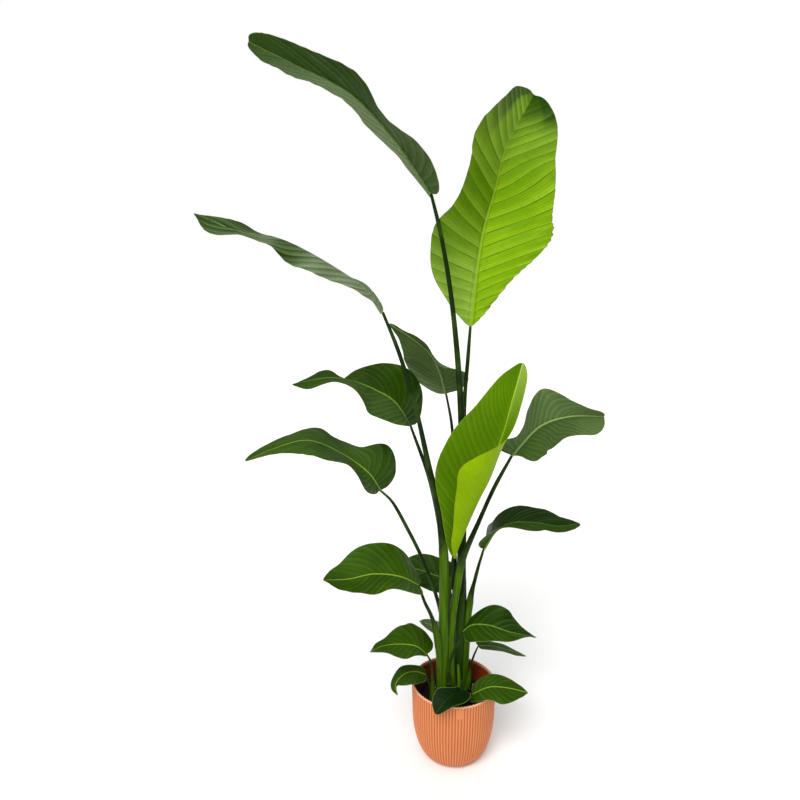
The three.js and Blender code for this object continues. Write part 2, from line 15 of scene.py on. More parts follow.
import bpy
import numpy as np
from mathutils import Euler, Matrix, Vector

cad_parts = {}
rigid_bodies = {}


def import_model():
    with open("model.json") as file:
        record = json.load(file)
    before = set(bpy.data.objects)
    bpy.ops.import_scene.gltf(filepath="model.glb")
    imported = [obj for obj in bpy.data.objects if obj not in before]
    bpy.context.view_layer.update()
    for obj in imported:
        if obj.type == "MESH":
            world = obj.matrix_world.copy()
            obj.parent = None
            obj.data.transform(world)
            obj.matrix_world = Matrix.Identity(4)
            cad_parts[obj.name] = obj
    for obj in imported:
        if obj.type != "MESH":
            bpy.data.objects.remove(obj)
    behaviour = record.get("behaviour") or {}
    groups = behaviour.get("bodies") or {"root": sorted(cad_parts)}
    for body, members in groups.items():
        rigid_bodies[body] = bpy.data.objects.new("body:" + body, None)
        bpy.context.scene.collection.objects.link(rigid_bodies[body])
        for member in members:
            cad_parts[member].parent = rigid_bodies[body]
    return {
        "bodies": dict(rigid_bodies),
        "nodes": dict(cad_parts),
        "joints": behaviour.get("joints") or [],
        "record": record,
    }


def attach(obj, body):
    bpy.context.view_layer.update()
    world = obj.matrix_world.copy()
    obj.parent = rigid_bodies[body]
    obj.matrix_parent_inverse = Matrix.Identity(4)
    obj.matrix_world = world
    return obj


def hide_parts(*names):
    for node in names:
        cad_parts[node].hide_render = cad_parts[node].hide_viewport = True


LOG = logging.getLogger("plant")
MM = 0.001
# A whole turn in radians, as the draws of a wave's place use it
TURN = 6.28
SEED = 20

Points = Sequence[Sequence[float]]
Keys = Sequence[float]


# Tools for numbers

def linear(hex_colour: str) -> tuple[float, float, float, float]:
    """Turn an sRGB hex colour to linear.

    Args:
        hex_colour: six hex digits.

    Returns:
        Red, green, blue and alpha for a shader socket.
    """
    shares = [int(hex_colour[at:at + 2], 16) / 255 for at in (0, 2, 4)]
    parts = [s / 12.92 if s <= 0.04045 else ((s + 0.055) / 1.055) ** 2.4 for s in shares]
    return parts[0], parts[1], parts[2], 1.0


def smooth_step(value: Any, low: float, high: float) -> Any:
    """Run from 0 at low to 1 at high with level ends, for a number or an array."""
    share = np.clip((value - low) / (high - low), 0.0, 1.0)
    return share * share * (3 - 2 * share)


def cubic(share: np.ndarray, ends: Sequence[Any], slopes: Sequence[Any]) -> np.ndarray:
    """Run a cubic between two ends.

    Args:
        share: shares of the way from 0 to 1.
        ends: the values at the start and at the end.
        slopes: the slopes there, for the whole way.

    Returns:
        One value for each share.
    """
    (start, end), (leaving, arriving) = ends, slopes
    bend = 3 * (end - start) - 2 * leaving - arriving
    twist = 2 * (start - end) + leaving + arriving
    return start + share * (leaving + share * (bend + share * twist))


def smooth_keys(values: Keys, place: np.ndarray) -> np.ndarray:
    """Read evenly spaced values at shares of their span, on a smooth curve through them.

    Args:
        values: the values, from the start of the span to its end.
        place: shares from 0 to 1.

    Returns:
        One value for each share.
    """
    keys = np.asarray(values, float)
    last = len(keys) - 1
    at = np.clip(place, 0, 1) * last
    index = np.minimum(at.astype(int), last - 1)
    share = at - index
    before, start, end, after = (keys[np.clip(index + step, 0, last)] for step in (-1, 0, 1, 2))
    return cubic(share, (start, end), ((end - before) / 2, (after - start) / 2))


def unit(vectors: np.ndarray) -> np.ndarray:
    """Scale each vector to length one."""
    return vectors / np.linalg.norm(vectors, axis=-1, keepdims=True)


class Line:
    """A smooth line through given points, read by its share of the whole length."""

    STEPS = 80

    def __init__(self, points: Points) -> None:
        """Lay the line through points in millimetres.

        Args:
            points: at least two, in order.
        """
        place = np.asarray(points, float)
        first = 2 * place[0] - place[1]
        final = 2 * place[-1] - place[-2]
        padded = np.vstack([first, place, final])
        share = np.linspace(0, 1, self.STEPS, endpoint=False)[:, None]
        pieces = []
        for at in range(len(place) - 1):
            before, start, end, after = padded[at:at + 4]
            gaps = np.linalg.norm(np.diff(padded[at:at + 4], axis=0), axis=1) ** 0.5
            leaving = gaps[1] * ((start - before) / gaps[0] - (end - before) / (gaps[0] + gaps[1])
                                 + (end - start) / gaps[1])
            arriving = gaps[1] * ((end - start) / gaps[1] - (after - start) / (gaps[1] + gaps[2])
                                  + (after - end) / gaps[2])
            pieces.append(cubic(share, (start, end), (leaving, arriving)))
        self.fine = np.vstack([*pieces, place[-1:]])
        steps = np.linalg.norm(np.diff(self.fine, axis=0), axis=1)
        self.reach = np.concatenate([[0], np.cumsum(steps)])
        self.length = float(self.reach[-1])

    def at(self, share: np.ndarray) -> np.ndarray:
        """Give the points at shares of the length."""
        goal = np.clip(share, 0, 1) * self.length
        return np.stack([np.interp(goal, self.reach, self.fine[:, axis]) for axis in range(3)], axis=1)

    def heading(self, share: np.ndarray) -> np.ndarray:
        """Give the line's direction at shares of the length."""
        reach = 0.004
        return unit(self.at(np.clip(share + reach, 0, 1)) - self.at(np.clip(share - reach, 0, 1)))


# Tools for meshes

def deselect() -> None:
    """Leave edit mode and select nothing."""
    if bpy.context.object is not None and bpy.context.object.mode != "OBJECT":
        bpy.ops.object.mode_set(mode="OBJECT")
    bpy.ops.object.select_all(action="DESELECT")


def pick(piece: bpy.types.Object) -> None:
    """Make a piece the only one selected, and the active one.

    Args:
        piece: the object.
    """
    deselect()
    bpy.context.view_layer.objects.active = piece
    piece.select_set(True)


def read_points(piece: bpy.types.Object) -> np.ndarray:
    """Give the places of a mesh's vertices, one to a row.

    Args:
        piece: the object that holds the mesh.

    Returns:
        Vertices x 3, in metres.
    """
    flat = np.zeros(len(piece.data.vertices) * 3)
    piece.data.vertices.foreach_get("co", flat)
    return flat.reshape(-1, 3)


def finish_shape(piece: bpy.types.Object, angle: float = 55.0) -> None:
    """Close the seam and the ends of a wrapped net, turn its faces out and smooth it.

    Args:
        piece: the object whose mesh is finished.
        angle: the steepest edge, in degrees, that is still shaded smooth.
    """
    pick(piece)
    bpy.ops.object.mode_set(mode="EDIT")
    bpy.ops.mesh.select_all(action="SELECT")
    bpy.ops.mesh.remove_doubles(threshold=1e-6)
    bpy.ops.mesh.fill_holes(sides=0)
    bpy.ops.mesh.select_all(action="SELECT")
    bpy.ops.mesh.normals_make_consistent(inside=False)
    bpy.ops.object.mode_set(mode="OBJECT")
    bpy.ops.object.shade_smooth_by_angle(angle=math.radians(angle))
    piece.select_set(False)


def wrapped_net(name: str, points: np.ndarray, marks: dict[str, np.ndarray]) -> bpy.types.Object:
    """Wrap a grid into a closed shape whose columns run round it and whose rows run along it.

    Args:
        name: the new object's name.
        points: rows x columns x 3 in metres, where the last column repeats the first.
        marks: float attributes by name, rows x columns.

    Returns:
        The object, its seam still open.
    """
    rows, columns = points.shape[:2]
    deselect()
    bpy.ops.mesh.primitive_grid_add(x_subdivisions=columns - 1, y_subdivisions=rows - 1, size=2,
                                    calc_uvs=False)
    piece = bpy.context.object
    piece.name = piece.data.name = name
    mesh = piece.data
    grid = read_points(piece)
    column = np.rint((grid[:, 0] + 1) / 2 * (columns - 1)).astype(int)
    row = np.rint((grid[:, 1] + 1) / 2 * (rows - 1)).astype(int)
    mesh.vertices.foreach_set("co", points[row, column].ravel())
    for title, values in marks.items():
        mark = mesh.attributes.new(title, "FLOAT", "POINT")
        mark.data.foreach_set("value", values[row, column].astype(np.float32))
    mesh.update()
    return piece


def lathe(name: str, profile: Sequence[tuple[float, float]], sides: int,
          at: Sequence[float] = (0.0, 0.0), angle: float = 40.0) -> bpy.types.Object:
    """Draw half a section point by point and spin it round an upright axis.

    Args:
        name: the piece's name.
        profile: radius and height in millimetres, from the axis round to the axis again.
        sides: faces around.
        at: where the axis stands, in millimetres.
        angle: the steepest edge, in degrees, that is still shaded smooth.

    Returns:
        The closed piece.
    """
    deselect()
    axis = Vector((at[0], at[1], 0)) * MM
    bpy.ops.mesh.primitive_plane_add(size=MM)
    piece = bpy.context.object
    piece.name = piece.data.name = name
    bpy.ops.object.mode_set(mode="EDIT")
    bpy.ops.mesh.merge(type="CENTER")
    spots = [axis + Vector((radius, 0, height)) * MM for radius, height in profile]
    bpy.ops.transform.translate(value=spots[0])
    for spot, following in zip(spots, spots[1:]):
        bpy.ops.mesh.extrude_region_move(TRANSFORM_OT_translate={"value": following - spot})
    bpy.ops.mesh.select_all(action="SELECT")
    bpy.ops.mesh.spin(steps=sides, angle=2 * math.pi, center=axis, axis=(0, 0, 1))
    bpy.ops.object.mode_set(mode="OBJECT")
    finish_shape(piece, angle)
    return piece


def hand_in(piece: bpy.types.Object, slot: str, *nodes: str,
            finish: "Finish | None" = None) -> bpy.types.Object:
    """Tie a finished piece to the frame and report it.

    Args:
        piece: the finished object.
        slot: the record's material slot; not used.
        nodes: the CAD nodes that the piece stands for.
        finish: what the piece wears, unless it is dressed already.

    Returns:
        The piece.
    """
    if finish is not None:
        piece.data.materials.append(finish.material())
    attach(piece, "root")
    if nodes:
        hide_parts(*nodes)
    LOG.info("%s: %d faces", piece.name, len(piece.data.polygons))
    return piece


# Tools for materials

def add_node(tree: bpy.types.NodeTree, kind: str, settings: dict[str, Any] | None = None,
             inputs: dict[Any, Any] | None = None) -> bpy.types.Node:
    """Add a shader node.

    Args:
        tree: the material's node tree.
        kind: the node's type name without the prefix ShaderNode.
        settings: properties of the node.
        inputs: by input name or number, a value to set or another node's output to link.

    Returns:
        The new node.
    """
    node = tree.nodes.new("ShaderNode" + kind)
    for key, value in (settings or {}).items():
        setattr(node, key, value)
    for key, value in (inputs or {}).items():
        if isinstance(value, bpy.types.NodeSocket):
            tree.links.new(value, node.inputs[key])
        else:
            node.inputs[key].default_value = value
    return node


# A Mix node's colours are its inputs 6 and 7 and its output 2. A Map Range node reads input 0,
# runs from input 1 to input 2, and gives what goes from input 3 to input 4.
COLOURS = {"data_type": "RGBA"}
EASED = {"interpolation_type": "SMOOTHSTEP"}
TIMES = {"operation": "MULTIPLY"}
PLUS = {"operation": "ADD"}
GREATER = {"operation": "MAXIMUM"}
FRACTION = {"operation": "FRACT"}
COSINE = {"operation": "COSINE"}
ABSOLUTE = {"operation": "ABSOLUTE"}


class Finish:
    """A finish with its own material, made once and shared by the pieces that wear it."""

    def __init__(self, title: str | None = None) -> None:
        """Name the finish, after its class if nothing else is given; no material is made yet."""
        self.title = title or type(self).__name__
        self.made: bpy.types.Material | None = None

    def material(self) -> bpy.types.Material:
        """Give the material, made at the first call.

        Returns:
            The material, the same one at every call.
        """
        if self.made is None:
            self.made = bpy.data.materials.new(self.title)
            self.made.use_nodes = True
            tree = self.made.node_tree
            tree.nodes.clear()
            surface = add_node(tree, "OutputMaterial")
            shader = add_node(tree, "BsdfPrincipled")
            tree.links.new(shader.outputs[0], surface.inputs[0])
            self.dress(tree, shader)
        return self.made

    def dress(self, tree: bpy.types.NodeTree, shader: bpy.types.Node) -> None:
        """Set up the shader; each finish has its own way."""
        raise NotImplementedError


# Finishes

@dataclass(frozen=True)
class LeafColours:
    """Colours of a leaf face, painted light and shade among them, its shine and how strongly its veins
    show.
    """

    blade: str
    light: str
    shade: str
    deep_and_shade: str
    wax_and_sheen: str
    rib: str
    edge: str
    rough: float
    gleam: float
    veins: float


class LeafFace(Finish):
    """One face of a leaf blade: green pleats between side veins, under a thin waxy skin.

    The material reads what the blade's net carries: the count of side veins, the distance from
    the midrib in half ribs, the distance from the margin in metres, and the shares there of dark
    green, which stands partly for painted shade, and of grey wax, which stands partly for painted sheen.
    """

    FINE_VEINS = 5.0
    # Strengths of the painted light on each pleat and of the painted shade in each crease
    PLEAT_LIGHT = 0.75
    CREASE = 0.7

    def __init__(self, title: str, colours: LeafColours) -> None:
        """Keep the face's name and colours."""
        super().__init__(title)
        self.colours = colours

    def dress(self, tree: bpy.types.NodeTree, shader: bpy.types.Node) -> None:
        """Painted light above each crease and painted shade along it, and a paler midrib.

        The midrib lies between lines of painted shade, and the thin margin is partly dry and partly a
        painted highlight.

        Args:
            tree: the material's node tree.
            shader: the shader to set up.
        """
        look = self.colours
        vein, rib, margin, deep_and_shade, wax_and_sheen = (
            add_node(tree, "Attribute", {"attribute_name": mark}).outputs["Fac"]
            for mark in ("vein", "midrib", "margin", "deep_and_shade", "wax_and_sheen"))
        place = add_node(tree, "TexCoord").outputs["Object"]
        # Slow drifts of tone 90 mm across, faint mottling 14 mm across
        broad = add_node(tree, "TexNoise", {}, {"Vector": place, "Scale": 11.0, "Detail": 2.0}).outputs[0]
        small = add_node(tree, "TexNoise", {}, {"Vector": place, "Scale": 70.0, "Detail": 4.0}).outputs[0]
        # Painted light and shade on each pleat: pale where it rises from a crease, deepening up to the next
        pleat = add_node(tree, "Math", FRACTION, {0: vein}).outputs[0]
        pleat_light = self.PLEAT_LIGHT * look.veins
        pale = add_node(tree, "MapRange", EASED, {0: pleat, 1: 0.03, 2: 0.6, 3: pleat_light, 4: 0.0}).outputs[0]
        drift = add_node(tree, "MapRange", EASED, {0: broad, 1: 0.35, 2: 0.65, 3: 0.0, 4: 0.45}).outputs[0]
        pleat_light_and_drift = add_node(tree, "Math", PLUS, {0: pale, 1: drift}).outputs[0]
        # Fine veins, 2 to 4 mm apart, and mottling between them
        turn = add_node(tree, "Math", TIMES, {0: vein, 1: 2 * math.pi * self.FINE_VEINS}).outputs[0]
        fine = add_node(tree, "Math", COSINE, {0: turn}).outputs[0]
        lines = 0.22 * look.veins
        lined = add_node(tree, "MapRange", EASED, {0: fine, 1: 0.2, 2: 1.0, 3: 0.0, 4: lines}).outputs[0]
        speckle = add_node(tree, "MapRange", EASED, {0: small, 1: 0.5, 2: 0.8, 3: 0.0, 4: 0.2}).outputs[0]
        # The midrib is paler, between two darker lines of painted shade
        rib_shade = add_node(tree, "MapRange", EASED, {0: rib, 1: 2.6, 2: 1.0, 3: 0.0, 4: 0.45}).outputs[0]
        on_rib = add_node(tree, "MapRange", EASED, {0: rib, 1: 1.05, 2: 0.9}).outputs[0]
        # Grey wax and painted sheen, most where a pleat rises
        risen = add_node(tree, "MapRange", EASED, {0: pleat, 1: 0.05, 2: 0.75, 3: 1.0, 4: 0.6}).outputs[0]
        wax_and_sheen_share = add_node(tree, "Math", TIMES, {0: risen, 1: wax_and_sheen}).outputs[0]
        # The crease is a dark line of painted shade, sharp above and soft below, that starts clear of the
        # midrib
        sharp = self.CREASE * look.veins
        below = add_node(tree, "MapRange", EASED, {0: pleat, 1: 0.86, 2: 0.99, 3: 0.0, 4: sharp}).outputs[0]
        above = add_node(tree, "MapRange", EASED, {0: pleat, 1: 0.05, 2: 0.0, 3: 0.0, 4: sharp}).outputs[0]
        crease_shade = add_node(tree, "Math", GREATER, {0: below, 1: above}).outputs[0]
        clear = add_node(tree, "MapRange", EASED, {0: rib, 1: 1.5, 2: 3.5}).outputs[0]
        patchy = add_node(tree, "MapRange", EASED, {0: broad, 1: 0.3, 2: 0.6, 3: 0.35, 4: 1.0}).outputs[0]
        for fading in (clear, patchy):
            crease_shade = add_node(tree, "Math", TIMES, {0: crease_shade, 1: fading}).outputs[0]
        # The thin margin line is partly dry and partly a painted highlight
        dry = add_node(tree, "MapRange", EASED, {0: margin, 1: 0.002, 2: 0.0006, 3: 0.0, 4: 0.8}).outputs[0]
        # Each layer lies over the ones before it; the dark green stands partly for painted shade
        # and the grey wax partly for painted sheen
        layers = ((pleat_light_and_drift, look.light), (lined, look.shade), (speckle, look.shade), (rib_shade, look.shade),
                  (on_rib, look.rib), (deep_and_shade, look.deep_and_shade), (wax_and_sheen_share, look.wax_and_sheen), (crease_shade, look.shade),
                  (dry, look.edge))
        green: Any = linear(look.blade)
        for share, cover in layers:
            green = add_node(tree, "Mix", COLOURS, {0: share, 6: green, 7: linear(cover)}).outputs[2]
        tree.links.new(green, shader.inputs["Base Color"])
        smooth, dull = look.rough - 0.04, look.rough + 0.08
        rough = add_node(tree, "MapRange", EASED, {0: small, 1: 0.3, 2: 0.7, 3: smooth, 4: dull}).outputs[0]
        tree.links.new(rough, shader.inputs["Roughness"])
        shader.inputs["Specular IOR Level"].default_value = look.gleam
        # The fine veins stand up by 0.1 mm, away from the midrib
        away = add_node(tree, "MapRange", EASED, {0: rib, 1: 1.0, 2: 2.0}).outputs[0]
        height = add_node(tree, "Math", TIMES, {0: fine, 1: away}).outputs[0]
        bump = add_node(tree, "Bump", {}, {"Height": height, "Distance": 0.0001}).outputs[0]
        tree.links.new(bump, shader.inputs["Normal"])


class StalkSkin(Finish):
    """Leaf stalks: a fleshy pale green sheath below, a smooth dark green stalk above."""

    SHEATH = "527606"
    SHEATH_SHADE = "3a5a04"
    SHEATH_DARK_AND_SHADE = "162e02"
    STALK = "162806"
    STALK_LIGHT = "2c4410"
    DRY = "8a7444"

    def dress(self, tree: bpy.types.NodeTree, shader: bpy.types.Node) -> None:
        """Two greens that meet at the top of the sheath, with fine lines along the stalk.

        Args:
            tree: the material's node tree.
            shader: the shader to set up.
        """
        above, tone = (add_node(tree, "Attribute", {"attribute_name": mark}).outputs["Fac"]
                       for mark in ("above", "pale"))
        place = add_node(tree, "TexCoord").outputs["Object"]
        # Streaks 2 to 3 mm wide and some 120 mm long
        streaks = add_node(tree, "Mapping", {}, {"Vector": place, "Scale": (330.0, 330.0, 8.0)}).outputs[0]
        streak = add_node(tree, "TexNoise", {}, {"Vector": streaks, "Scale": 1.0, "Detail": 3.0}).outputs[0]
        broad = add_node(tree, "TexNoise", {}, {"Vector": place, "Scale": 16.0, "Detail": 2.0}).outputs[0]
        lined = add_node(tree, "MapRange", EASED, {0: streak, 1: 0.3, 2: 0.7}).outputs[0]
        pale = add_node(tree, "Mix", COLOURS,
                        {0: lined, 6: linear(self.SHEATH), 7: linear(self.SHEATH_SHADE)}).outputs[2]
        # A less pale sheath turns darker: partly its own darker green, partly painted shade among the other
        # stalks
        pale = add_node(tree, "Mix", COLOURS, {0: tone, 6: linear(self.SHEATH_DARK_AND_SHADE), 7: pale}).outputs[2]
        drift = add_node(tree, "MapRange", EASED, {0: broad, 1: 0.4, 2: 0.65}).outputs[0]
        dark = add_node(tree, "Mix", COLOURS,
                        {0: drift, 6: linear(self.STALK), 7: linear(self.STALK_LIGHT)}).outputs[2]
        up_stalk = add_node(tree, "MapRange", EASED, {0: above, 1: -0.02, 2: 0.012}).outputs[0]
        green = add_node(tree, "Mix", COLOURS, {0: up_stalk, 6: pale, 7: dark}).outputs[2]
        # The sheath's rim dries to a pale brown line
        rim = add_node(tree, "Math", ABSOLUTE, {0: above}).outputs[0]
        dry = add_node(tree, "MapRange", EASED, {0: rim, 1: 0.0016, 2: 0.0004, 3: 0.0, 4: 0.2}).outputs[0]
        green = add_node(tree, "Mix", COLOURS, {0: dry, 6: green, 7: linear(self.DRY)}).outputs[2]
        tree.links.new(green, shader.inputs["Base Color"])
        rough = add_node(tree, "MapRange", EASED, {0: streak, 1: 0.3, 2: 0.7, 3: 0.34, 4: 0.46}).outputs[0]
        tree.links.new(rough, shader.inputs["Roughness"])
        shader.inputs["Specular IOR Level"].default_value = 0.08
        bump = add_node(tree, "Bump", {}, {"Height": streak, "Distance": 0.00025}).outputs[0]
        tree.links.new(bump, shader.inputs["Normal"])


class DrySheath(Finish):
    """Old leaf bases round the foot of a shoot: brown and papery."""

    def dress(self, tree: bpy.types.NodeTree, shader: bpy.types.Node) -> None:
        """Brown with upright fibres 1 mm wide.

        Args:
            tree: the material's node tree.
            shader: the shader to set up.
        """
        place = add_node(tree, "TexCoord").outputs["Object"]
        fibres = add_node(tree, "Mapping", {}, {"Vector": place, "Scale": (900.0, 900.0, 60.0)}).outputs[0]
        fibre = add_node(tree, "TexNoise", {}, {"Vector": fibres, "Scale": 1.0, "Detail": 4.0}).outputs[0]
        share = add_node(tree, "MapRange", EASED, {0: fibre, 1: 0.3, 2: 0.7}).outputs[0]
        brown = add_node(tree, "Mix", COLOURS,
                         {0: share, 6: linear("3a2a16"), 7: linear("6d5430")}).outputs[2]
        tree.links.new(brown, shader.inputs["Base Color"])
        shader.inputs["Roughness"].default_value = 0.85
        bump = add_node(tree, "Bump", {}, {"Height": fibre, "Distance": 0.0004}).outputs[0]
        tree.links.new(bump, shader.inputs["Normal"])


class FlutedPlastic(Finish):
    """The planter's satin terracotta-coloured plastic, moulded in one piece."""

    # The groove and inside colours are painted shade, and the lip colour a painted highlight; the groove
    # colour also darkens random patches
    RIDGE = "da8552"
    DARK_TONE_AND_GROOVE_SHADE = "ad5f36"
    INSIDE = "8a3818"
    LIP = "ecb48e"

    def dress(self, tree: bpy.types.NodeTree, shader: bpy.types.Node) -> None:
        """Peach on the ridges, deeper with painted shade in the grooves, dusky with painted shade inside
        and pale with a painted highlight on the thin lip.

        Args:
            tree: the material's node tree.
            shader: the shader to set up.
        """
        groove, inside, lip = (add_node(tree, "Attribute", {"attribute_name": mark}).outputs["Fac"]
                               for mark in ("groove", "inside", "lip"))
        place = add_node(tree, "TexCoord").outputs["Object"]
        # Moulding grain 0.8 mm across, and slight shifts of tone 60 mm across
        grain = add_node(tree, "TexNoise", {}, {"Vector": place, "Scale": 1200.0, "Detail": 2.0}).outputs[0]
        tone = add_node(tree, "TexNoise", {}, {"Vector": place, "Scale": 16.0, "Detail": 2.0}).outputs[0]
        groove_shade = add_node(tree, "MapRange", EASED, {0: groove, 1: 0.2, 2: 0.95}).outputs[0]
        drift = add_node(tree, "MapRange", EASED, {0: tone, 1: 0.35, 2: 0.7, 3: 0.0, 4: 0.15}).outputs[0]
        colour: Any = linear(self.RIDGE)
        # Painted shade in the grooves and inside, random darker patches and a painted highlight on the lip
        layers = ((groove_shade, self.DARK_TONE_AND_GROOVE_SHADE), (drift, self.DARK_TONE_AND_GROOVE_SHADE), (inside, self.INSIDE), (lip, self.LIP))
        for share, cover in layers:
            colour = add_node(tree, "Mix", COLOURS, {0: share, 6: colour, 7: linear(cover)}).outputs[2]
        tree.links.new(colour, shader.inputs["Base Color"])
        rough = add_node(tree, "MapRange", EASED, {0: grain, 1: 0.3, 2: 0.7, 3: 0.46, 4: 0.56}).outputs[0]
        tree.links.new(rough, shader.inputs["Roughness"])
        shader.inputs["Specular IOR Level"].default_value = 0.2
        bump = add_node(tree, "Bump", {}, {"Height": grain, "Distance": 0.00005}).outputs[0]
        tree.links.new(bump, shader.inputs["Normal"])


class PotPlastic(Finish):
    """The grow pot's thin black plastic."""

    def dress(self, tree: bpy.types.NodeTree, shader: bpy.types.Node) -> None:
        """Black with faint scuffs 5 mm across.

        Args:
            tree: the material's node tree.
            shader: the shader to set up.
        """
        place = add_node(tree, "TexCoord").outputs["Object"]
        scuff = add_node(tree, "TexNoise", {}, {"Vector": place, "Scale": 200.0, "Detail": 5.0}).outputs[0]
        share = add_node(tree, "MapRange", EASED, {0: scuff, 1: 0.5, 2: 0.8}).outputs[0]
        colour = add_node(tree, "Mix", COLOURS,
                          {0: share, 6: linear("141414"), 7: linear("2b2a28")}).outputs[2]
        tree.links.new(colour, shader.inputs["Base Color"])
        rough = add_node(tree, "MapRange", EASED, {0: scuff, 1: 0.3, 2: 0.8, 3: 0.38, 4: 0.6}).outputs[0]
        tree.links.new(rough, shader.inputs["Roughness"])
        bump = add_node(tree, "Bump", {}, {"Height": scuff, "Distance": 0.0001}).outputs[0]
        tree.links.new(bump, shader.inputs["Normal"])


class PottingMix(Finish):
    """Moist dark potting mix of peat and bark."""

    def dress(self, tree: bpy.types.NodeTree, shader: bpy.types.Node) -> None:
        """Near black with brown crumbs 2 mm across.

        Args:
            tree: the material's node tree.
            shader: the shader to set up.
        """
        place = add_node(tree, "TexCoord").outputs["Object"]
        crumb = add_node(tree, "TexVoronoi", {}, {"Vector": place, "Scale": 480.0}).outputs[0]
        clod = add_node(tree, "TexNoise", {}, {"Vector": place, "Scale": 130.0, "Detail": 6.0}).outputs[0]
        bark = add_node(tree, "MapRange", EASED, {0: clod, 1: 0.4, 2: 0.7}).outputs[0]
        colour = add_node(tree, "Mix", COLOURS,
                          {0: bark, 6: linear("100b08"), 7: linear("2f2016")}).outputs[2]
        peat = add_node(tree, "MapRange", EASED, {0: crumb, 1: 0.1, 2: 0.5, 3: 0.5, 4: 0.0}).outputs[0]
        colour = add_node(tree, "Mix", COLOURS, {0: peat, 6: colour, 7: linear("1f150f")}).outputs[2]
        tree.links.new(colour, shader.inputs["Base Color"])
        shader.inputs["Roughness"].default_value = 0.92
        shader.inputs["Specular IOR Level"].default_value = 0.25
        grit = add_node(tree, "Math", TIMES, {0: crumb, 1: 0.6}).outputs[0]
        height = add_node(tree, "Math", PLUS, {0: clod, 1: grit}).outputs[0]
        bump = add_node(tree, "Bump", {}, {"Height": height, "Distance": 0.0012}).outputs[0]
        tree.links.new(bump, shader.inputs["Normal"])


class Perlite(Finish):
    """White, chalky perlite grains."""

    def dress(self, tree: bpy.types.NodeTree, shader: bpy.types.Node) -> None:
        """Off-white with pits under 1 mm across.

        Args:
            tree: the material's node tree.
            shader: the shader to set up.
        """
        place = add_node(tree, "TexCoord").outputs["Object"]
        pits = add_node(tree, "TexNoise", {}, {"Vector": place, "Scale": 1500.0, "Detail": 3.0}).outputs[0]
        share = add_node(tree, "MapRange", EASED, {0: pits, 1: 0.35, 2: 0.7}).outputs[0]
        colour = add_node(tree, "Mix", COLOURS,
                          {0: share, 6: linear("c9c4b8"), 7: linear("f0ede4")}).outputs[2]
        tree.links.new(colour, shader.inputs["Base Color"])
        shader.inputs["Roughness"].default_value = 0.9
        bump = add_node(tree, "Bump", {}, {"Height": pits, "Distance": 0.0003}).outputs[0]
        tree.links.new(bump, shader.inputs["Normal"])


class FloorPaint(Finish):
    """The studio floor's matt white."""

    def dress(self, tree: bpy.types.NodeTree, shader: bpy.types.Node) -> None:
        """Plain pale grey-white.

        Args:
            tree: the material's node tree.
            shader: the shader to set up.
        """
        shader.inputs["Base Color"].default_value = linear("fbfbfa")
        shader.inputs["Roughness"].default_value = 0.8
        shader.inputs["Specular IOR Level"].default_value = 0.1


class Age(Enum):
    """How old a leaf is, which sets its greens."""

    MATURE = "mature"
    YOUNG = "young"
    FURLED = "furled"


# In each set the shade and darkest greens also paint shade, the grey wax colour also paints sheen and the
# edge colour is partly a painted highlight
MATURE_UPPER = LeafColours(
    blade="2b4703", light="40640a", shade="061c01", deep_and_shade="061c01", wax_and_sheen="8b9c78", rib="7e9e2e",
    edge="66783c", rough=0.34, gleam=0.05, veins=0.5)
MATURE_UNDER = LeafColours(
    blade="35520e", light="48661f", shade="1a3403", deep_and_shade="122a02", wax_and_sheen="8e9e76", rib="7f9a52",
    edge="76864c", rough=0.46, gleam=0.015, veins=0.4)
YOUNG_UPPER = LeafColours(
    blade="709c02", light="8cb414", shade="396202", deep_and_shade="1c4002", wax_and_sheen="a4bc68", rib="86a820",
    edge="56601c", rough=0.42, gleam=0.035, veins=1.0)
FURLED_UPPER = LeafColours(
    blade="709c02", light="84ac10", shade="447002", deep_and_shade="2c5402", wax_and_sheen="c4dc6c", rib="a4c42c",
    edge="8ca428", rough=0.38, gleam=0.035, veins=0.45)
YOUNG_UNDER = LeafColours(
    blade="a0c400", light="aecf0c", shade="6c9600", deep_and_shade="4c7800", wax_and_sheen="b0c478", rib="b4cc40",
    edge="8a8424", rough=0.45, gleam=0.03, veins=0.25)


@dataclass
class Finishes:
    """Every finish of the plant, each made once."""

    stalk: StalkSkin = field(default_factory=StalkSkin)
    dry: DrySheath = field(default_factory=DrySheath)
    planter: FlutedPlastic = field(default_factory=FlutedPlastic)
    pot: PotPlastic = field(default_factory=PotPlastic)
    mix: PottingMix = field(default_factory=PottingMix)
    perlite: Perlite = field(default_factory=Perlite)
    floor: FloorPaint = field(default_factory=FloorPaint)
    faces: dict[Age, tuple[LeafFace, LeafFace]] = field(default_factory=lambda: {
        Age.MATURE: (LeafFace("MatureLeafUpper", MATURE_UPPER), LeafFace("MatureLeafUnder", MATURE_UNDER)),
        Age.YOUNG: (LeafFace("YoungLeafUpper", YOUNG_UPPER), LeafFace("YoungLeafUnder", YOUNG_UNDER)),
        Age.FURLED: (LeafFace("FurledLeafUpper", FURLED_UPPER), LeafFace("FurledLeafUnder", YOUNG_UNDER)),
    })


# Leaves

@dataclass(frozen=True)
class Half:
    """One half of a blade, in millimetres and degrees.

    wide is the half width, as one number for the common outline or as a list from foot to tip;
    rise is how far the half stands up from the midrib and turn how far it curls on from there.
    """

    wide: float | Keys
    rise: Keys
    turn: Keys = (0, 0)


@dataclass(frozen=True)
class Tone:
    """How the green changes from foot to tip, on the left and on the right half.

    Their shares, in order, are of the dark green, which stands partly for painted shade, of the grey
    wax, which stands partly for painted sheen, and of a dark band along the margin.
    """

    deep_and_shade: tuple[Keys, Keys] = ((0, 0), (0, 0))
    wax_and_sheen: tuple[Keys, Keys] = ((0, 0), (0, 0))
    band: tuple[Keys, Keys] = ((0, 0), (0, 0))


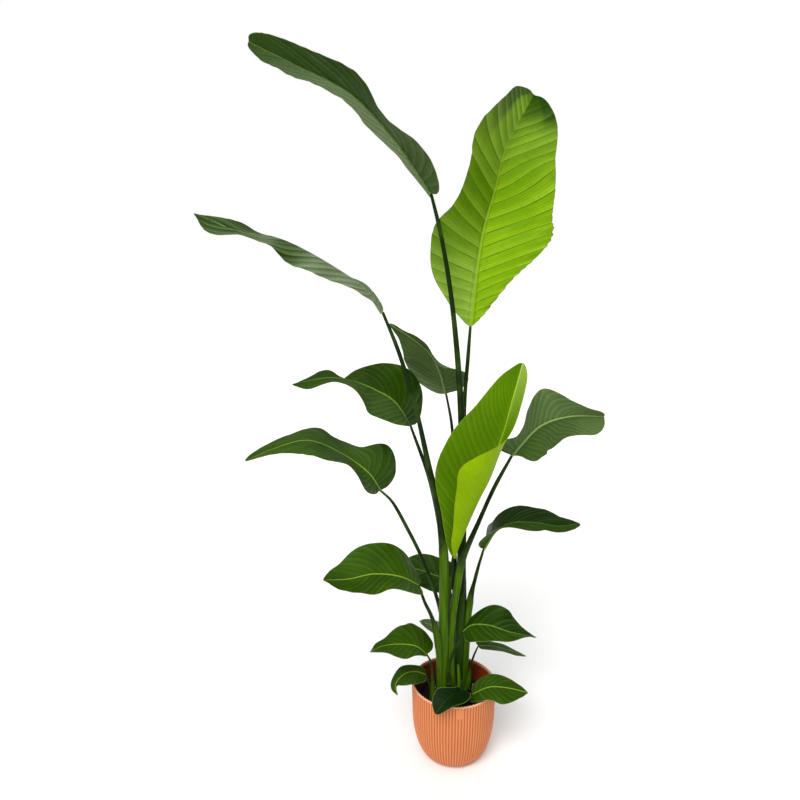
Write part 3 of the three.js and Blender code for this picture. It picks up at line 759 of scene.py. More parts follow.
@dataclass
class Blade:
    """A leaf blade: a pleated sheet on both sides of a channelled midrib.

    face is the side that the angles are measured from. lean is the slant of the side veins at
    the foot, in the middle and at the tip; wave the height and number of margin waves; rib half
    the midrib's width at the foot. pleat is the distance between side veins and fold the depth
    of the pleats, of which each half has the share that pleated gives; the next number is how
    much painted shade sets the pleats apart in tone. sweep is how far each half's veins run on to
    the tip before they meet the margin, curl how late they bend there, and frill the height of
    the ripples in each margin from foot to tip.
    """

    name: str
    face: Sequence[float]
    spine: Points
    left: Half
    right: Half
    lean: tuple[float, float, float]
    wave: tuple[float, int]
    rib: float
    pleat: float = 20.0
    fold: float = 0.6
    pleated: tuple[float, float] = (1.0, 1.0)
    pleat_shading: float = 0.1
    sweep: tuple[float, float] = (1.2, 1.2)
    curl: tuple[float, float] = (0.5, 0.5)
    frill: tuple[Keys, Keys] = ((0, 0), (0, 0))
    age: Age = Age.MATURE
    columns: int = 15
    tone: Tone = Tone()

    OUTLINE = (0.75, 0.97, 1, 0.96, 0.84, 0.55, 0.2)
    # Shares of the midrib over which the foot and the tip are rounded
    FOOT_ROUND = 0.08
    TIP_ROUND = 0.14
    # Where the side veins' slant leaves that of the lobes, and where it turns to that of the tip
    LOBE_END = 0.4
    POINT_START = 0.6
    THICKNESS = 0.8
    # The midrib's channel above and keel below in shares of its half width, and that at the tip
    CHANNEL = 0.3
    KEEL = 1.5
    RIB_TIP = 1.2
    # Half ribs from the midrib over which the two halves share one slope, and the pleats rise
    FOLD_REACH = 3.0
    PLEAT_REACH = 4.0
    # The net: even rows first, then rows along the veins, close together at each crease
    FINE_ROWS = 400
    FOOT_ROWS = 14
    IN_PLEAT = (0.0, 0.05, 0.12, 0.25, 0.42, 0.6, 0.78, 0.92)
    NEAR_RIB = (0, 0.35, 0.7, 0.9, 1, 1.3)
    # What each pleat, slow swell and margin ripple draws, from the least to the greatest: lengths
    # in millimetres, the rest in shares
    VEIN_DRIFT = (-0.07, 0.07)
    PLEAT_STRENGTH = (0.4, 1.5)
    PLEAT_SHADE = (-0.6, 0.6)
    SWELL_LENGTH = (90, 190)
    SWELL_SLANT = (0.3, 0.9)
    RIPPLE_LENGTH = (18, 40)
    SWELLS = 5
    RIPPLES = 3
    # Height of a swell and of the margin's crimps, in half widths
    SWELL = 0.008
    CRIMP = 0.006
    # Length of the ragged margin's teeth, and of their drift, in millimetres
    RAGGED = (11, 17)

    def half_width(self, half: Half, share: np.ndarray) -> np.ndarray:
        """Give a half's width in millimetres at shares of the midrib, rounded at the ends.

        Args:
            half: the left or the right half.
            share: shares of the midrib.

        Returns:
            One width for each share.
        """
        if isinstance(half.wide, (int, float)):
            full = half.wide * smooth_keys(self.OUTLINE, share)
        else:
            full = smooth_keys(half.wide, share)
        foot = np.maximum(0, 1 - share / self.FOOT_ROUND)
        tip = np.maximum(0, 1 - (1 - share) / self.TIP_ROUND)
        return np.maximum(self.rib, full * np.sqrt((1 - foot ** 2) * (1 - tip ** 2)))

    def vein_lean(self, share: np.ndarray) -> np.ndarray:
        """Give the side veins' slant in radians: back into the lobes, then on to the tip.

        Args:
            share: shares of the midrib.

        Returns:
            One angle for each share.
        """
        foot, middle, tip = self.lean
        lobe = np.maximum(0, 1 - share / self.LOBE_END) ** 2
        point = np.maximum(0, (share - self.POINT_START) / (1 - self.POINT_START)) ** 2
        return np.radians(middle + (foot - middle) * lobe + (tip - middle) * point)

    def frame(self, line: Line, share: np.ndarray) -> tuple[np.ndarray, np.ndarray, np.ndarray]:
        """Give the heading, the upward and the rightward direction at shares of the midrib.

        Args:
            line: the midrib.
            share: shares of its length.

        Returns:
            Three directions for each share.
        """
        heading = line.heading(share)
        face = np.asarray(self.face, float)
        up = unit(face - heading * (heading @ face)[:, None])
        return heading, up, np.cross(heading, up)

    def rows(self, length: float, chance: np.random.Generator) -> tuple[np.ndarray, np.ndarray]:
        """Place the rows of the net, which run along the side veins.

        Args:
            length: the midrib's length in millimetres.
            chance: source of the veins' small irregularities.

        Returns:
            For each row the count of side veins passed and its share of the midrib.
        """
        count = max(5, round(length / self.pleat))
        veins = np.linspace(0, 1, count + 1)
        # The pleats are widest in the middle of the blade
        veins -= 0.05 * np.sin(2 * math.pi * veins)
        veins[1:-1] += chance.uniform(*self.VEIN_DRIFT, count - 1) / count
        passed = np.append((np.arange(count)[:, None] + np.asarray(self.IN_PLEAT)).ravel(), count)
        # Close rows at the foot round off its lobes
        passed = np.unique(np.append(passed, np.linspace(0, 1, self.FOOT_ROWS) ** 1.8))
        return passed, np.interp(passed, np.arange(count + 1), veins)

    def smooth_half(self, line: Line, half: Half, other: Half, side: int) -> tuple[np.ndarray, ...]:
        """Lay out the smooth middle layer of one half, in even rows across the midrib.

        Args:
            line: the midrib.
            half: the half that is laid out.
            other: the half across the midrib, which the fold is shared with.
            side: -1 for the left half and 1 for the right.

        Returns:
            The rows' shares of the midrib, points, normals, shares of the half's width and
            distances from the midrib in half ribs.
        """
        even = np.linspace(0, 1, self.FINE_ROWS)
        share = even + 0.35 * ((1 - np.cos(math.pi * even)) / 2 - even)
        heading, up, right = self.frame(line, share)
        outward = right * side
        width = self.half_width(half, share)
        rib = self.rib + (self.RIB_TIP - self.rib) * share
        rib_share = np.minimum(0.7, rib / width)
        rest = np.linspace(0, 1, self.columns - len(self.NEAR_RIB) + 2)[1:]
        rest = 1 - (1 - rest) ** 1.2
        near = np.asarray(self.NEAR_RIB)[None] * rib_share[:, None]
        out = np.concatenate([near, near[:, -1:] + (1 - near[:, -1:]) * rest[None]], axis=1)
        rise, far = (np.radians(smooth_keys(part.rise, share))[:, None] for part in (half, other))
        turn = np.radians(smooth_keys(half.turn, share))[:, None]
        away = out * width[:, None] / rib[:, None]
        angle = rise + turn * out - ((rise + far) / 2) * (1 - smooth_step(away, 0.0, self.FOLD_REACH))
        lean = self.vein_lean(share)
        step = np.diff(out, axis=1) * (width * np.cos(lean))[:, None]
        middle = (angle[:, 1:] + angle[:, :-1]) / 2
        start = np.zeros((len(share), 1))
        across = np.concatenate([start, np.cumsum(step * np.cos(middle), axis=1)], axis=1)
        raised = np.concatenate([start, np.cumsum(step * np.sin(middle), axis=1)], axis=1)
        beyond = np.maximum(0, out - np.minimum(0.25, rib / width)[:, None])
        forward = ((width - self.rib) * np.sin(lean))[:, None] * beyond
        normal = up[:, None] * np.cos(angle)[..., None] - outward[:, None] * np.sin(angle)[..., None]
        points = (line.at(share)[:, None] + outward[:, None] * across[..., None]
                  + up[:, None] * raised[..., None] + heading[:, None] * forward[..., None])
        return share, points, normal, out, away

    def half_net(self, line: Line, rows: tuple[np.ndarray, np.ndarray], side: int,
                 chance: np.random.Generator) -> dict[str, np.ndarray]:
        """Lay one half's net along its side veins and pleat it.

        Args:
            line: the midrib.
            rows: for each row the count of side veins passed and its share of the midrib.
            side: -1 for the left half and 1 for the right.
            chance: source of the pleats' and margins' small differences.

        Returns:
            Points in millimetres, rows x columns x 3, and the marks for the material.
        """
        half, other = (self.left, self.right) if side < 0 else (self.right, self.left)
        at = 0 if side < 0 else 1
        pleated = self.pleated[at]
        fine, points, normal, out, away = self.smooth_half(line, half, other, side)
        passed, place = rows
        column = out[len(fine) // 2]
        onward = self.sweep[at] * column * (1 - self.curl[at] * (1 - column))
        left_over = 1 - place[:, None]
        share = 1 - left_over ** (1 + onward)
        spacing = np.minimum(1, (1 + onward) * left_over ** onward)

        def read(values: np.ndarray) -> np.ndarray:
            """Read values of the even rows where the rows along the veins lie."""
            columns = (np.interp(share[:, k], fine, values[:, k]) for k in range(len(column)))
            return np.stack(list(columns), axis=1)

        points = np.stack([read(points[..., axis]) for axis in range(3)], axis=2)
        normal = unit(np.stack([read(normal[..., axis]) for axis in range(3)], axis=2))
        out, away = read(out), read(away)
        width = self.half_width(half, share)
        ends = smooth_step(share, 0.0, 0.06) * smooth_step(1 - share, 0.0, 0.1)
        height, count = self.wave
        phase = 2 * math.pi * count * share + (1 if side < 0 else 2.5)
        lift = height * np.sin(phase) * np.sin(math.pi * share) * out ** 2
        # A pleat rises fast from its crease and falls slowly to the next, and fades at the margin
        vein, within = passed.astype(int), passed % 1
        strength = chance.uniform(*self.PLEAT_STRENGTH, vein[-1] + 1)[vein]
        ridge = (strength * (np.sin(math.pi * within ** 0.75) ** 0.8 - 0.6))[:, None] * pleated
        risen = smooth_step(away, 1.0, self.PLEAT_REACH) * ends * spacing * (1 - 0.85 * out ** 4)
        lift += 2 * self.fold * ridge * risen
        # Slow swells of the whole half
        start = (place * line.length)[:, None]
        for _ in range(self.SWELLS):
            spans = (self.SWELL_LENGTH, self.SWELL_SLANT, (0, TURN))
            long, wide, shift = (chance.uniform(*span) for span in spans)
            wave = np.sin(2 * math.pi * (start / long + wide * out) + shift)
            lift += self.SWELL * width * out * ends * wave
        # Painted shade on the pleats: some pleats are darker, some paler, and each darkens towards the next
        pleat_shade = chance.uniform(*self.PLEAT_SHADE, vein[-1] + 1)[vein] + within - 0.5
        pleat_shade = (self.pleat_shading * pleated * pleat_shade)[:, None] * ends
        band = smooth_keys(self.tone.band[at], share) * smooth_step(out, 0.5, 0.7)
        # Small ripples in the margin, up and down and in its own plane
        frill = smooth_keys(self.frill[at], share) + self.CRIMP * width * pleated
        crimp = frill / 2 * smooth_step(out, 0.72, 1.0) * ends
        for _ in range(self.RIPPLES):
            long, shift = (chance.uniform(*span) for span in (self.RIPPLE_LENGTH, (0, TURN)))
            lift += crimp * np.sin(2 * math.pi * start / long + shift)
        short, drift = self.RAGGED
        ragged = np.sin(2 * math.pi * start / short + 3 * np.sin(start / drift))
        along = frill / 3 * smooth_step(out, 0.8, 1.0) * ends * ragged
        points = points + unit(np.gradient(points, axis=1)) * along[..., None]
        # The dark green share stands partly for painted shade, the grey wax share partly for painted sheen
        return {"points": points + normal * lift[..., None], "out": out, "share": share,
                "vein": np.repeat(passed[:, None], len(column), axis=1), "midrib": away,
                "margin": (1 - out) * width * MM,
                "deep_and_shade": np.clip(smooth_keys(self.tone.deep_and_shade[at], share) + pleat_shade + band, 0, 1),
                "wax_and_sheen": np.clip(smooth_keys(self.tone.wax_and_sheen[at], share) - pleat_shade / 2, 0, 1)}

    def build(self, finishes: Finishes) -> bpy.types.Object:
        """Make the blade and dress both of its faces.

        Args:
            finishes: the plant's finishes.

        Returns:
            The blade.
        """
        line = Line(self.spine)
        chance = np.random.default_rng(SEED + sum(map(ord, self.name)))
        rows = self.rows(line.length, chance)
        left, right = (self.half_net(line, rows, side, chance) for side in (-1, 1))
        whole = {key: np.concatenate([left[key][:, :0:-1], right[key]], axis=1) for key in left}
        layer, share, away = whole["points"], whole["share"], whole["midrib"]
        normal = unit(np.cross(np.gradient(layer, axis=1), np.gradient(layer, axis=0)))
        rib = self.rib + (self.RIB_TIP - self.rib) * share
        point = np.sqrt(smooth_step(1 - share, 0.0, 0.012))
        thick = self.THICKNESS / 2 * (1 - 0.6 * whole["out"] ** 12) * point
        hollow = np.cos(np.clip(away, 0, 1) * math.pi / 2) ** 2
        channel = self.CHANNEL * rib * hollow * smooth_step(1 - share, 0, 0.1)
        keel = self.KEEL * rib * np.sqrt(np.clip(1 - away ** 2, 0, 1)) * smooth_step(1 - share, 0, 0.02)
        top = layer + normal * (thick - channel)[..., None]
        under = layer - normal * (thick + keel)[..., None]

        def wrap(upper: np.ndarray, lower: np.ndarray) -> np.ndarray:
            """Run a row across the upper face and back across the lower one."""
            return np.concatenate([upper, lower[:, ::-1], upper[:, :1]], axis=1)

        marks = {key: wrap(whole[key], whole[key]) for key in ("vein", "midrib", "margin", "deep_and_shade", "wax_and_sheen")}
        piece = wrapped_net(self.name + "_blade", wrap(top, under) * MM, marks)
        self.paint(piece, layer.shape[1], finishes)
        finish_shape(piece, 75)
        return hand_in(piece, "leaf_mature" if self.age is Age.MATURE else "leaf_new", self.name)

    def paint(self, piece: bpy.types.Object, columns: int, finishes: Finishes) -> None:
        """Give the columns of the upper face one finish and the rest the other.

        Args:
            piece: the blade.
            columns: how many columns its upper face has.
            finishes: the plant's finishes.
        """
        for face in finishes.faces[self.age]:
            piece.data.materials.append(face.material())
        place = np.arange(len(piece.data.polygons)) % (2 * columns)
        piece.data.polygons.foreach_set("material_index", (place >= columns).astype(int))


# Stalks

@dataclass
class Stalk:
    """One leaf stalk, from its place in the crown up to its blade, in millimetres.

    foot and neck are the radii at the two ends, slims the heights between which it narrows from
    one to the other, via the points that it runs through, sheath the height at which its sheath
    ends and pale how light the sheath is; a darker sheath is partly its own green and partly
    painted shade among the other stalks. A stalk without a blade is a leafless sheath.
    """

    shoot: str
    name: str
    foot: float
    neck: float
    slims: tuple[float, float]
    via: Points
    sheath: float
    pale: float
    blade: Blade | None = None

    BOTTOM = 122.0
    SOIL_TOP = 150.0
    GAP = 0.3
    # Faces round, and the length of each row
    SIDES = 24
    STEP = 7.0
    # The last stretch slims to a share of the neck
    TAPER = 75.0
    END_SHARE = 0.7
    # The sheath's rim: its slant and its thickness in radii, on sheaths that end above the soil
    SLANT = 1.6
    COLLAR = 0.07
    COLLAR_FROM = (140.0, 160.0)
    # The channel on the upper side: its depth in radii and what it gains towards the blade, the
    # share of the length at which it starts to, and its half width in radians
    CHANNEL = (0.06, 0.34)
    CHANNEL_FROM = 0.82
    CHANNEL_WIDTH = 0.5
    # The seam where the sheath's edges meet: its depth in radii and its half width in radians
    SEAM = 0.1
    SEAM_WIDTH = 0.12
    # The round part in radii, and the last ring's share of the one before, which softens the end
    ROUND = 0.97
    LAST_RING = 0.96

    def line(self, at: Sequence[float]) -> Line:
        """Lay the stalk's line from below the soil to the foot of its blade, or to its own tip.

        Args:
            at: where the shoot stands in the soil.

        Returns:
            The line.
        """
        bottom = np.array([*at, self.BOTTOM])
        points = [np.asarray(point, float) for point in self.via]
        start = (points[0] + bottom) / 2
        start[2] = self.SOIL_TOP
        if self.blade is not None:
            spine = Line(self.blade.spine)
            points.append(spine.at(np.zeros(1))[0] - spine.heading(np.zeros(1))[0] * self.GAP)
        return Line([bottom, start, *points])

    def build(self, at: Sequence[float], finishes: Finishes) -> bpy.types.Object:
        """Make the stalk round, broad and sheathing below, channelled towards the blade.

        Args:
            at: where the shoot stands in the soil.
            finishes: the plant's finishes.

        Returns:
            The stalk.
        """
        line = self.line(at)
        rows = max(12, int(line.length / self.STEP))
        share = np.linspace(0, 1, rows)
        heading = line.heading(share)
        up = np.zeros_like(heading)
        if self.blade is not None:
            spine = Line(self.blade.spine)
            first, face, _ = self.blade.frame(spine, np.zeros(1))
            heading[-1] = first[0]
            facing = face[0]
        else:
            facing = np.array([0.0, 1.0, 0.0])
        for row in range(rows - 1, -1, -1):
            facing = facing - heading[row] * (facing @ heading[row])
            facing = facing / np.linalg.norm(facing)
            up[row] = facing
        side = np.cross(heading, up)
        points = line.at(share)
        radius = self.neck + (self.foot - self.neck) * (1 - smooth_step(points[:, 2], *self.slims))
        if self.blade is not None:
            last = 1 - self.TAPER / line.length
            radius = radius * (1 - (1 - self.END_SHARE) * np.clip((share - last) / (1 - last), 0, 1))
        turn = np.linspace(0, 2 * math.pi, self.SIDES + 1)
        # The sheath's top is cut aslant, and its two edges meet under the channel
        slant = self.SLANT * radius[:, None] * np.sin(turn)[None]
        above = points[:, 2:3] - self.sheath - slant
        shown = smooth_step(self.sheath, *self.COLLAR_FROM)
        collar = self.COLLAR * (1 - smooth_step(above, -3.0, 3.0)) * shown
        low, more = self.CHANNEL
        depth = low + more * smooth_step(share, self.CHANNEL_FROM, 1.0)[:, None]
        channel = depth * np.exp(-((turn - math.pi / 2) / self.CHANNEL_WIDTH) ** 2)[None]
        seam = self.SEAM * (1 - smooth_step(above, -6.0, 0.0))
        seam = seam * np.exp(-((turn - math.pi / 2) / self.SEAM_WIDTH) ** 2)[None]
        reach = radius[:, None] * (self.ROUND + collar - channel - seam)
        reach[-1] *= self.LAST_RING
        net = (points[:, None] + side[:, None] * (reach * np.cos(turn)[None])[..., None]
               + up[:, None] * (reach * np.sin(turn)[None])[..., None])
        marks = {"above": above * MM, "pale": np.full(above.shape, self.pale)}
        piece = wrapped_net(self.name + "_stalk", net * MM, marks)
        finish_shape(piece, 60)
        return hand_in(piece, "stalk", self.shoot, finish=finishes.stalk)


@dataclass
class Shoot:
    """A shoot: stalks that rise from one crown in the soil."""

    name: str
    at: Sequence[float]
    radius: float
    stalks: list[Stalk]

    TOP = 142.0
    DEPTH = 40.0

    def build(self, finishes: Finishes) -> None:
        """Make the crown, then its stalks.

        Args:
            finishes: the plant's finishes.
        """
        self.crown(finishes)
        for stalk in self.stalks:
            stalk.build(self.at, finishes)

    def crown(self, finishes: Finishes) -> bpy.types.Object:
        """Make the round crown, which the soil holds.

        Args:
            finishes: the plant's finishes.

        Returns:
            The crown.
        """
        shape = ((0.0, 0.0), (0.8, 0.0), (1.0, 2.0), (1.0, self.DEPTH - 3), (0.93, self.DEPTH - 0.8),
                 (0.7, self.DEPTH), (0.0, self.DEPTH))
        profile = [(self.radius * reach, self.TOP - self.DEPTH + height) for reach, height in shape]
        piece = lathe(self.name + "_crown", profile, 48, self.at)
        return hand_in(piece, "stalk", self.name, finish=finishes.dry)


# Planter, grow pot and soil

@dataclass
class Planter:
    """The fluted planter: a round-bottomed bowl that turns into a straight wall."""

    radius: float = 110.0
    waist: float = 108.0
    height: float = 203.0
    foot: float = 63.0
    round_height: float = 128.0
    wall: float = 3.5
    flutes: int = 88
    depth: float = 1.8
    plate_middle: tuple[float, float] = (6.3, 183.7)
    plate_half: tuple[float, float] = (9.0, 12.5)

    COLUMNS_PER_FLUTE = 8
    # Rows of the net up the bowl, up the wall and over the rim
    ROWS = (22, 18, 9)
    LIP = 1.1
    # Over 1, this makes the grooves narrower than the ridges
    NARROW = 1.3
    # How far the plate lies below the ridges, in groove depths, and how soft its edge is
    PLATE_DEPTH = 0.12
    PLATE_EDGE = (-0.5, 0.8)
    # Heights below the rim between which the pale lip, a painted highlight, starts
    LIP_HIGHLIGHT = (2.2, 1.0)

    def outside(self, height: np.ndarray) -> np.ndarray:
        """Give the outer radius over the ridges at heights.

        Args:
            height: heights over the underside.

        Returns:
            One radius for each height.
        """
        drop = np.maximum(0, 1 - height / self.round_height)
        flare = np.maximum(0, height - self.round_height) / (self.height - self.round_height)
        bowl = self.foot + (self.waist - self.foot) * np.sqrt(1 - drop ** 2)
        return bowl + (self.radius - self.waist) * flare

    def profile(self) -> np.ndarray:
        """Give rows of inset, height and level, from the middle of the underside over the rim.

        Returns:
            Rows x 3, where the level is the height at which the outer radius is read.
        """
        bowl, straight, over = self.ROWS
        rise = (1 - np.cos(np.linspace(0, 1, bowl) * math.pi / 2)) * self.round_height
        wall = np.linspace(self.round_height, self.height - self.LIP, straight)[1:]
        rows = [(0.0, level, level) for level in (*rise, *wall)]
        top, lip = self.height, self.LIP
        for turn in np.linspace(0, math.pi, over)[1:]:
            inset = self.wall / 2 - math.cos(turn) * self.wall / 2
            rows.append((inset, top - lip + lip * math.sin(turn), top))
        rows += [(self.wall, level, level) for level in (*wall[::-2], *rise[:4:-1])]
        return np.array(rows)

    def build(self, finishes: Finishes) -> bpy.types.Object:
        """Make the planter in one closed shape and dress it.

        Args:
            finishes: the plant's finishes.

        Returns:
            The planter.
        """
        rows = self.profile()
        inset, height, level = rows.T
        turn = np.linspace(0, 2 * math.pi, self.flutes * self.COLUMNS_PER_FLUTE + 1)
        radius = self.outside(level) - inset
        # Round ridges with narrower grooves between them
        groove = (0.5 - 0.5 * np.cos(turn * self.flutes)) ** self.NARROW
        grooves = np.repeat(groove[None], len(rows), axis=0)
        x = radius[:, None] * np.cos(turn)[None]
        y = radius[:, None] * np.sin(turn)[None]
        outer = (inset < self.wall / 2)[:, None]
        off_x = np.abs(x - self.plate_middle[0]) - self.plate_half[0]
        off_z = np.abs(height[:, None] - self.plate_middle[1]) - self.plate_half[1]
        plate = (1 - smooth_step(np.maximum(off_x, off_z), *self.PLATE_EDGE)) * (y < 0) * outer
        grooves = grooves * (1 - plate) + self.PLATE_DEPTH * plate
        reach = radius[:, None] - grooves * (self.depth * radius / self.radius)[:, None]
        net = np.stack([reach * np.cos(turn)[None], reach * np.sin(turn)[None],
                        np.repeat(height[:, None], len(turn), axis=1)], axis=2)
        inside = np.repeat(1.0 - outer, len(turn), axis=1)
        # The pale lip is a painted highlight along the rim
        pale = smooth_step(height, *(self.height - drop for drop in self.LIP_HIGHLIGHT))
        lip = np.repeat(pale[:, None], len(turn), axis=1)
        under = np.zeros((1, len(turn), 3))
        floor = np.array([[(self.foot * math.cos(a), self.foot * math.sin(a), self.wall) for a in turn],
                          [(0.0, 0.0, self.wall)] * len(turn)])
        net = np.concatenate([under, net, floor])
        blank, full = np.zeros((2, len(turn))), np.ones((2, len(turn)))
        marks = {"groove": np.concatenate([blank[:1], grooves, blank]),
                 "inside": np.concatenate([blank[:1], inside, full]),
                 "lip": np.concatenate([blank[:1], lip, blank])}
        piece = wrapped_net("fluted_planter", net * MM, marks)
        finish_shape(piece, 65)
        return hand_in(piece, "planter", "planter", finish=finishes.planter)


@dataclass
class GrowPot:
    """The plain tapered pot inside the planter."""

    rim: float = 98.0
    foot: float = 57.0
    bottom: float = 3.8
    top: float = 150.0
    wall: float = 1.5

    # How far the foot's edge is cut in, the height over which the rim is rounded, rows up the wall
    CHAMFER = 1
    ROUNDING = 0.6
    ROWS = 9

    def radius(self, height: float) -> float:
        """Give the outer radius at a height."""
        return self.foot + (self.rim - self.foot) * (height - self.bottom) / (self.top - self.bottom)

    def build(self, finishes: Finishes) -> bpy.types.Object:
        """Make the thin pot with its rounded rim.

        Args:
            finishes: the plant's finishes.

        Returns:
            The pot.
        """
        floor = self.bottom + self.wall
        levels = np.linspace(self.bottom, self.top - self.ROUNDING, self.ROWS)
        rim = self.radius(self.top)
        profile = [(0.0, self.bottom), (self.radius(self.bottom) - self.CHAMFER, self.bottom)]
        profile += [(self.radius(level), level) for level in levels[1:]]
        profile += [(rim - inset, self.top - drop) for inset, drop in ((0.3, 0.1), (0.75, 0.0), (1.2, 0.1))]
        profile += [(self.radius(level) - self.wall, level) for level in levels[:1:-1]]
        profile += [(self.radius(floor) - self.wall, floor), (0.0, floor)]
        piece = lathe("grow_pot_shell", profile, 96)
        return hand_in(piece, "grow_pot", "grow_pot", finish=finishes.pot)


@dataclass
class Soil:
    """Potting mix with a loose surface, a hole for each crown, crumbs and perlite."""

    pot: GrowPot
    shoots: list[Shoot]
    edge: float = 144.0
    top: float = 150.0
    crumbs: int = 420
    grains: int = 46

    GAP = 0.3
    # The surface's waves, in millimetres, their height in shares of their length and how far it sinks
    WAVES = (26, 14, 8, 5)
    ROUGHNESS = 0.028
    SINK = 1.2
    # How far the tool that cuts a hole stands over the surface
    HOLE_OVER = 8
    # How far a lump is sunk, how much of its height then lifts it, and how uneven it is
    LUMP_SINK = 0.9
    LUMP_RISE = 0.25
    UNEVEN = (0.72, 1.2)
    # Room left between the lumps and the pot, and round each crown in shares of a lump's size
    EDGE_ROOM = 1.5
    CROWN_ROOM = 1.3

    def surface(self, reach: float) -> float:
        """Give the mean height of the surface at a distance from the axis."""
        rim = self.pot.radius(self.edge) - self.pot.wall - self.GAP
        return self.edge + (self.top - self.edge) * float(smooth_step(rim - reach, 0.0, rim * 0.4))

    def build(self, finishes: Finishes) -> None:
        """Make the body of the soil, then what lies loose on it.

        Args:
            finishes: the plant's finishes.
        """
        self.body(finishes)
        chance = np.random.default_rng(SEED)
        self.lumps("soil_crumbs", self.crumbs, 1, (1.2, 3.2), 0.55, chance, finishes.mix)
        self.lumps("perlite_grains", self.grains, 2, (1.3, 2.6), 0.8, chance, finishes.perlite)

    def body(self, finishes: Finishes) -> bpy.types.Object:
        """Make the body with its rough top and cut the holes for the crowns.

        Args:
            finishes: the plant's finishes.

        Returns:
            The body.
        """
        bottom = self.pot.bottom + self.pot.wall + self.GAP
        inset = self.pot.wall + self.GAP
        rim = self.pot.radius(self.edge) - inset
        profile = [(0.0, bottom)]
        levels = np.linspace(bottom, self.edge - 1, 7)
        profile += [(self.pot.radius(level) - inset, level) for level in levels]
        profile += [(reach, self.surface(reach)) for reach in np.linspace(rim, 0, 46)]
        piece = lathe("potting_mix", profile, 180, angle=50)
        piece.data.materials.append(finishes.mix.material())
        x, y, z = read_points(piece).T / MM
        rough = np.zeros_like(x)
        chance = np.random.default_rng(SEED + 1)
        for size in self.WAVES:
            for _ in range(4):
                way = chance.normal(size=2)
                way = way / np.linalg.norm(way) * 2 * math.pi / size
                rough += size * self.ROUGHNESS * np.sin(x * way[0] + y * way[1] + chance.uniform(0, TURN))
        lift = (rough - self.SINK) * smooth_step(rim - np.hypot(x, y), 0.0, 6.0)
        z = z + np.where(z >= self.edge - 0.01, lift, 0)
        piece.data.vertices.foreach_set("co", (np.stack([x, y, z], axis=1) * MM).ravel())
        for shoot in self.shoots:
            self.cut_hole(piece, shoot)
        return hand_in(piece, "soil", "soil")

    def cut_hole(self, piece: bpy.types.Object, shoot: Shoot) -> None:
        """Cut the plain round hole that a crown stands in.

        Args:
            piece: the body of the soil.
            shoot: the shoot whose crown stands there.
        """
        low = shoot.TOP - shoot.DEPTH - self.GAP
        high = self.top + self.HOLE_OVER
        middle = (shoot.at[0] * MM, shoot.at[1] * MM, (high + low) / 2 * MM)
        deselect()
        bpy.ops.mesh.primitive_cylinder_add(vertices=48, radius=(shoot.radius + self.GAP) * MM,
                                            depth=(high - low) * MM, location=middle)
        cutter = bpy.context.object
        pick(piece)
        cut = piece.modifiers.new("hole", "BOOLEAN")
        cut.object = cutter
        cut.operation = "DIFFERENCE"
        cut.solver = "EXACT"
        bpy.ops.object.modifier_apply(modifier=cut.name)
        bpy.data.objects.remove(cutter)

    def lumps(self, name: str, count: int, detail: int, sizes: tuple[float, float], flat: float,
              chance: np.random.Generator, finish: Finish) -> bpy.types.Object:
        """Scatter small lumps over the surface and join them to one piece.

        Args:
            name: the piece's name.
            count: how many lumps.
            detail: subdivisions of each lump.
            sizes: least and greatest radius in millimetres.
            flat: height of a lump in shares of its width.
            chance: source of the scatter.
            finish: what the lumps are made of.

        Returns:
            The joined piece.
        """
        rim = self.pot.radius(self.edge) - self.pot.wall
        made: list[bpy.types.Object] = []
        deselect()
        while len(made) < count:
            size = chance.uniform(*sizes)
            reach = (rim - size - self.EDGE_ROOM) * math.sqrt(chance.uniform(0.0, 1.0))
            turn = chance.uniform(0, 2 * math.pi)
            x, y = reach * math.cos(turn), reach * math.sin(turn)
            if any(math.hypot(x - shoot.at[0], y - shoot.at[1]) < shoot.radius + size * self.CROWN_ROOM
                   for shoot in self.shoots):
                continue
            z = self.surface(reach) - self.LUMP_SINK + size * flat * self.LUMP_RISE
            bpy.ops.mesh.primitive_ico_sphere_add(subdivisions=detail, radius=size * MM,
                                                  location=(x * MM, y * MM, z * MM),
                                                  rotation=tuple(chance.uniform(0, TURN, 3)))
            lump = bpy.context.object
            spots = read_points(lump)
            spots *= chance.uniform(*self.UNEVEN, len(spots))[:, None]
            lump.data.vertices.foreach_set("co", spots.ravel())
            lump.scale = (1, 1, flat)
            made.append(lump)
        deselect()
        for lump in made:
            lump.select_set(True)
        bpy.context.view_layer.objects.active = made[0]
        bpy.ops.object.join()
        piece = bpy.context.object
        bpy.ops.object.transform_apply(location=True, rotation=True, scale=True)
        piece.name = piece.data.name = name
        bpy.ops.object.shade_smooth_by_angle(angle=math.radians(25))
        deselect()
        return hand_in(piece, "soil", finish=finish)


# Studio

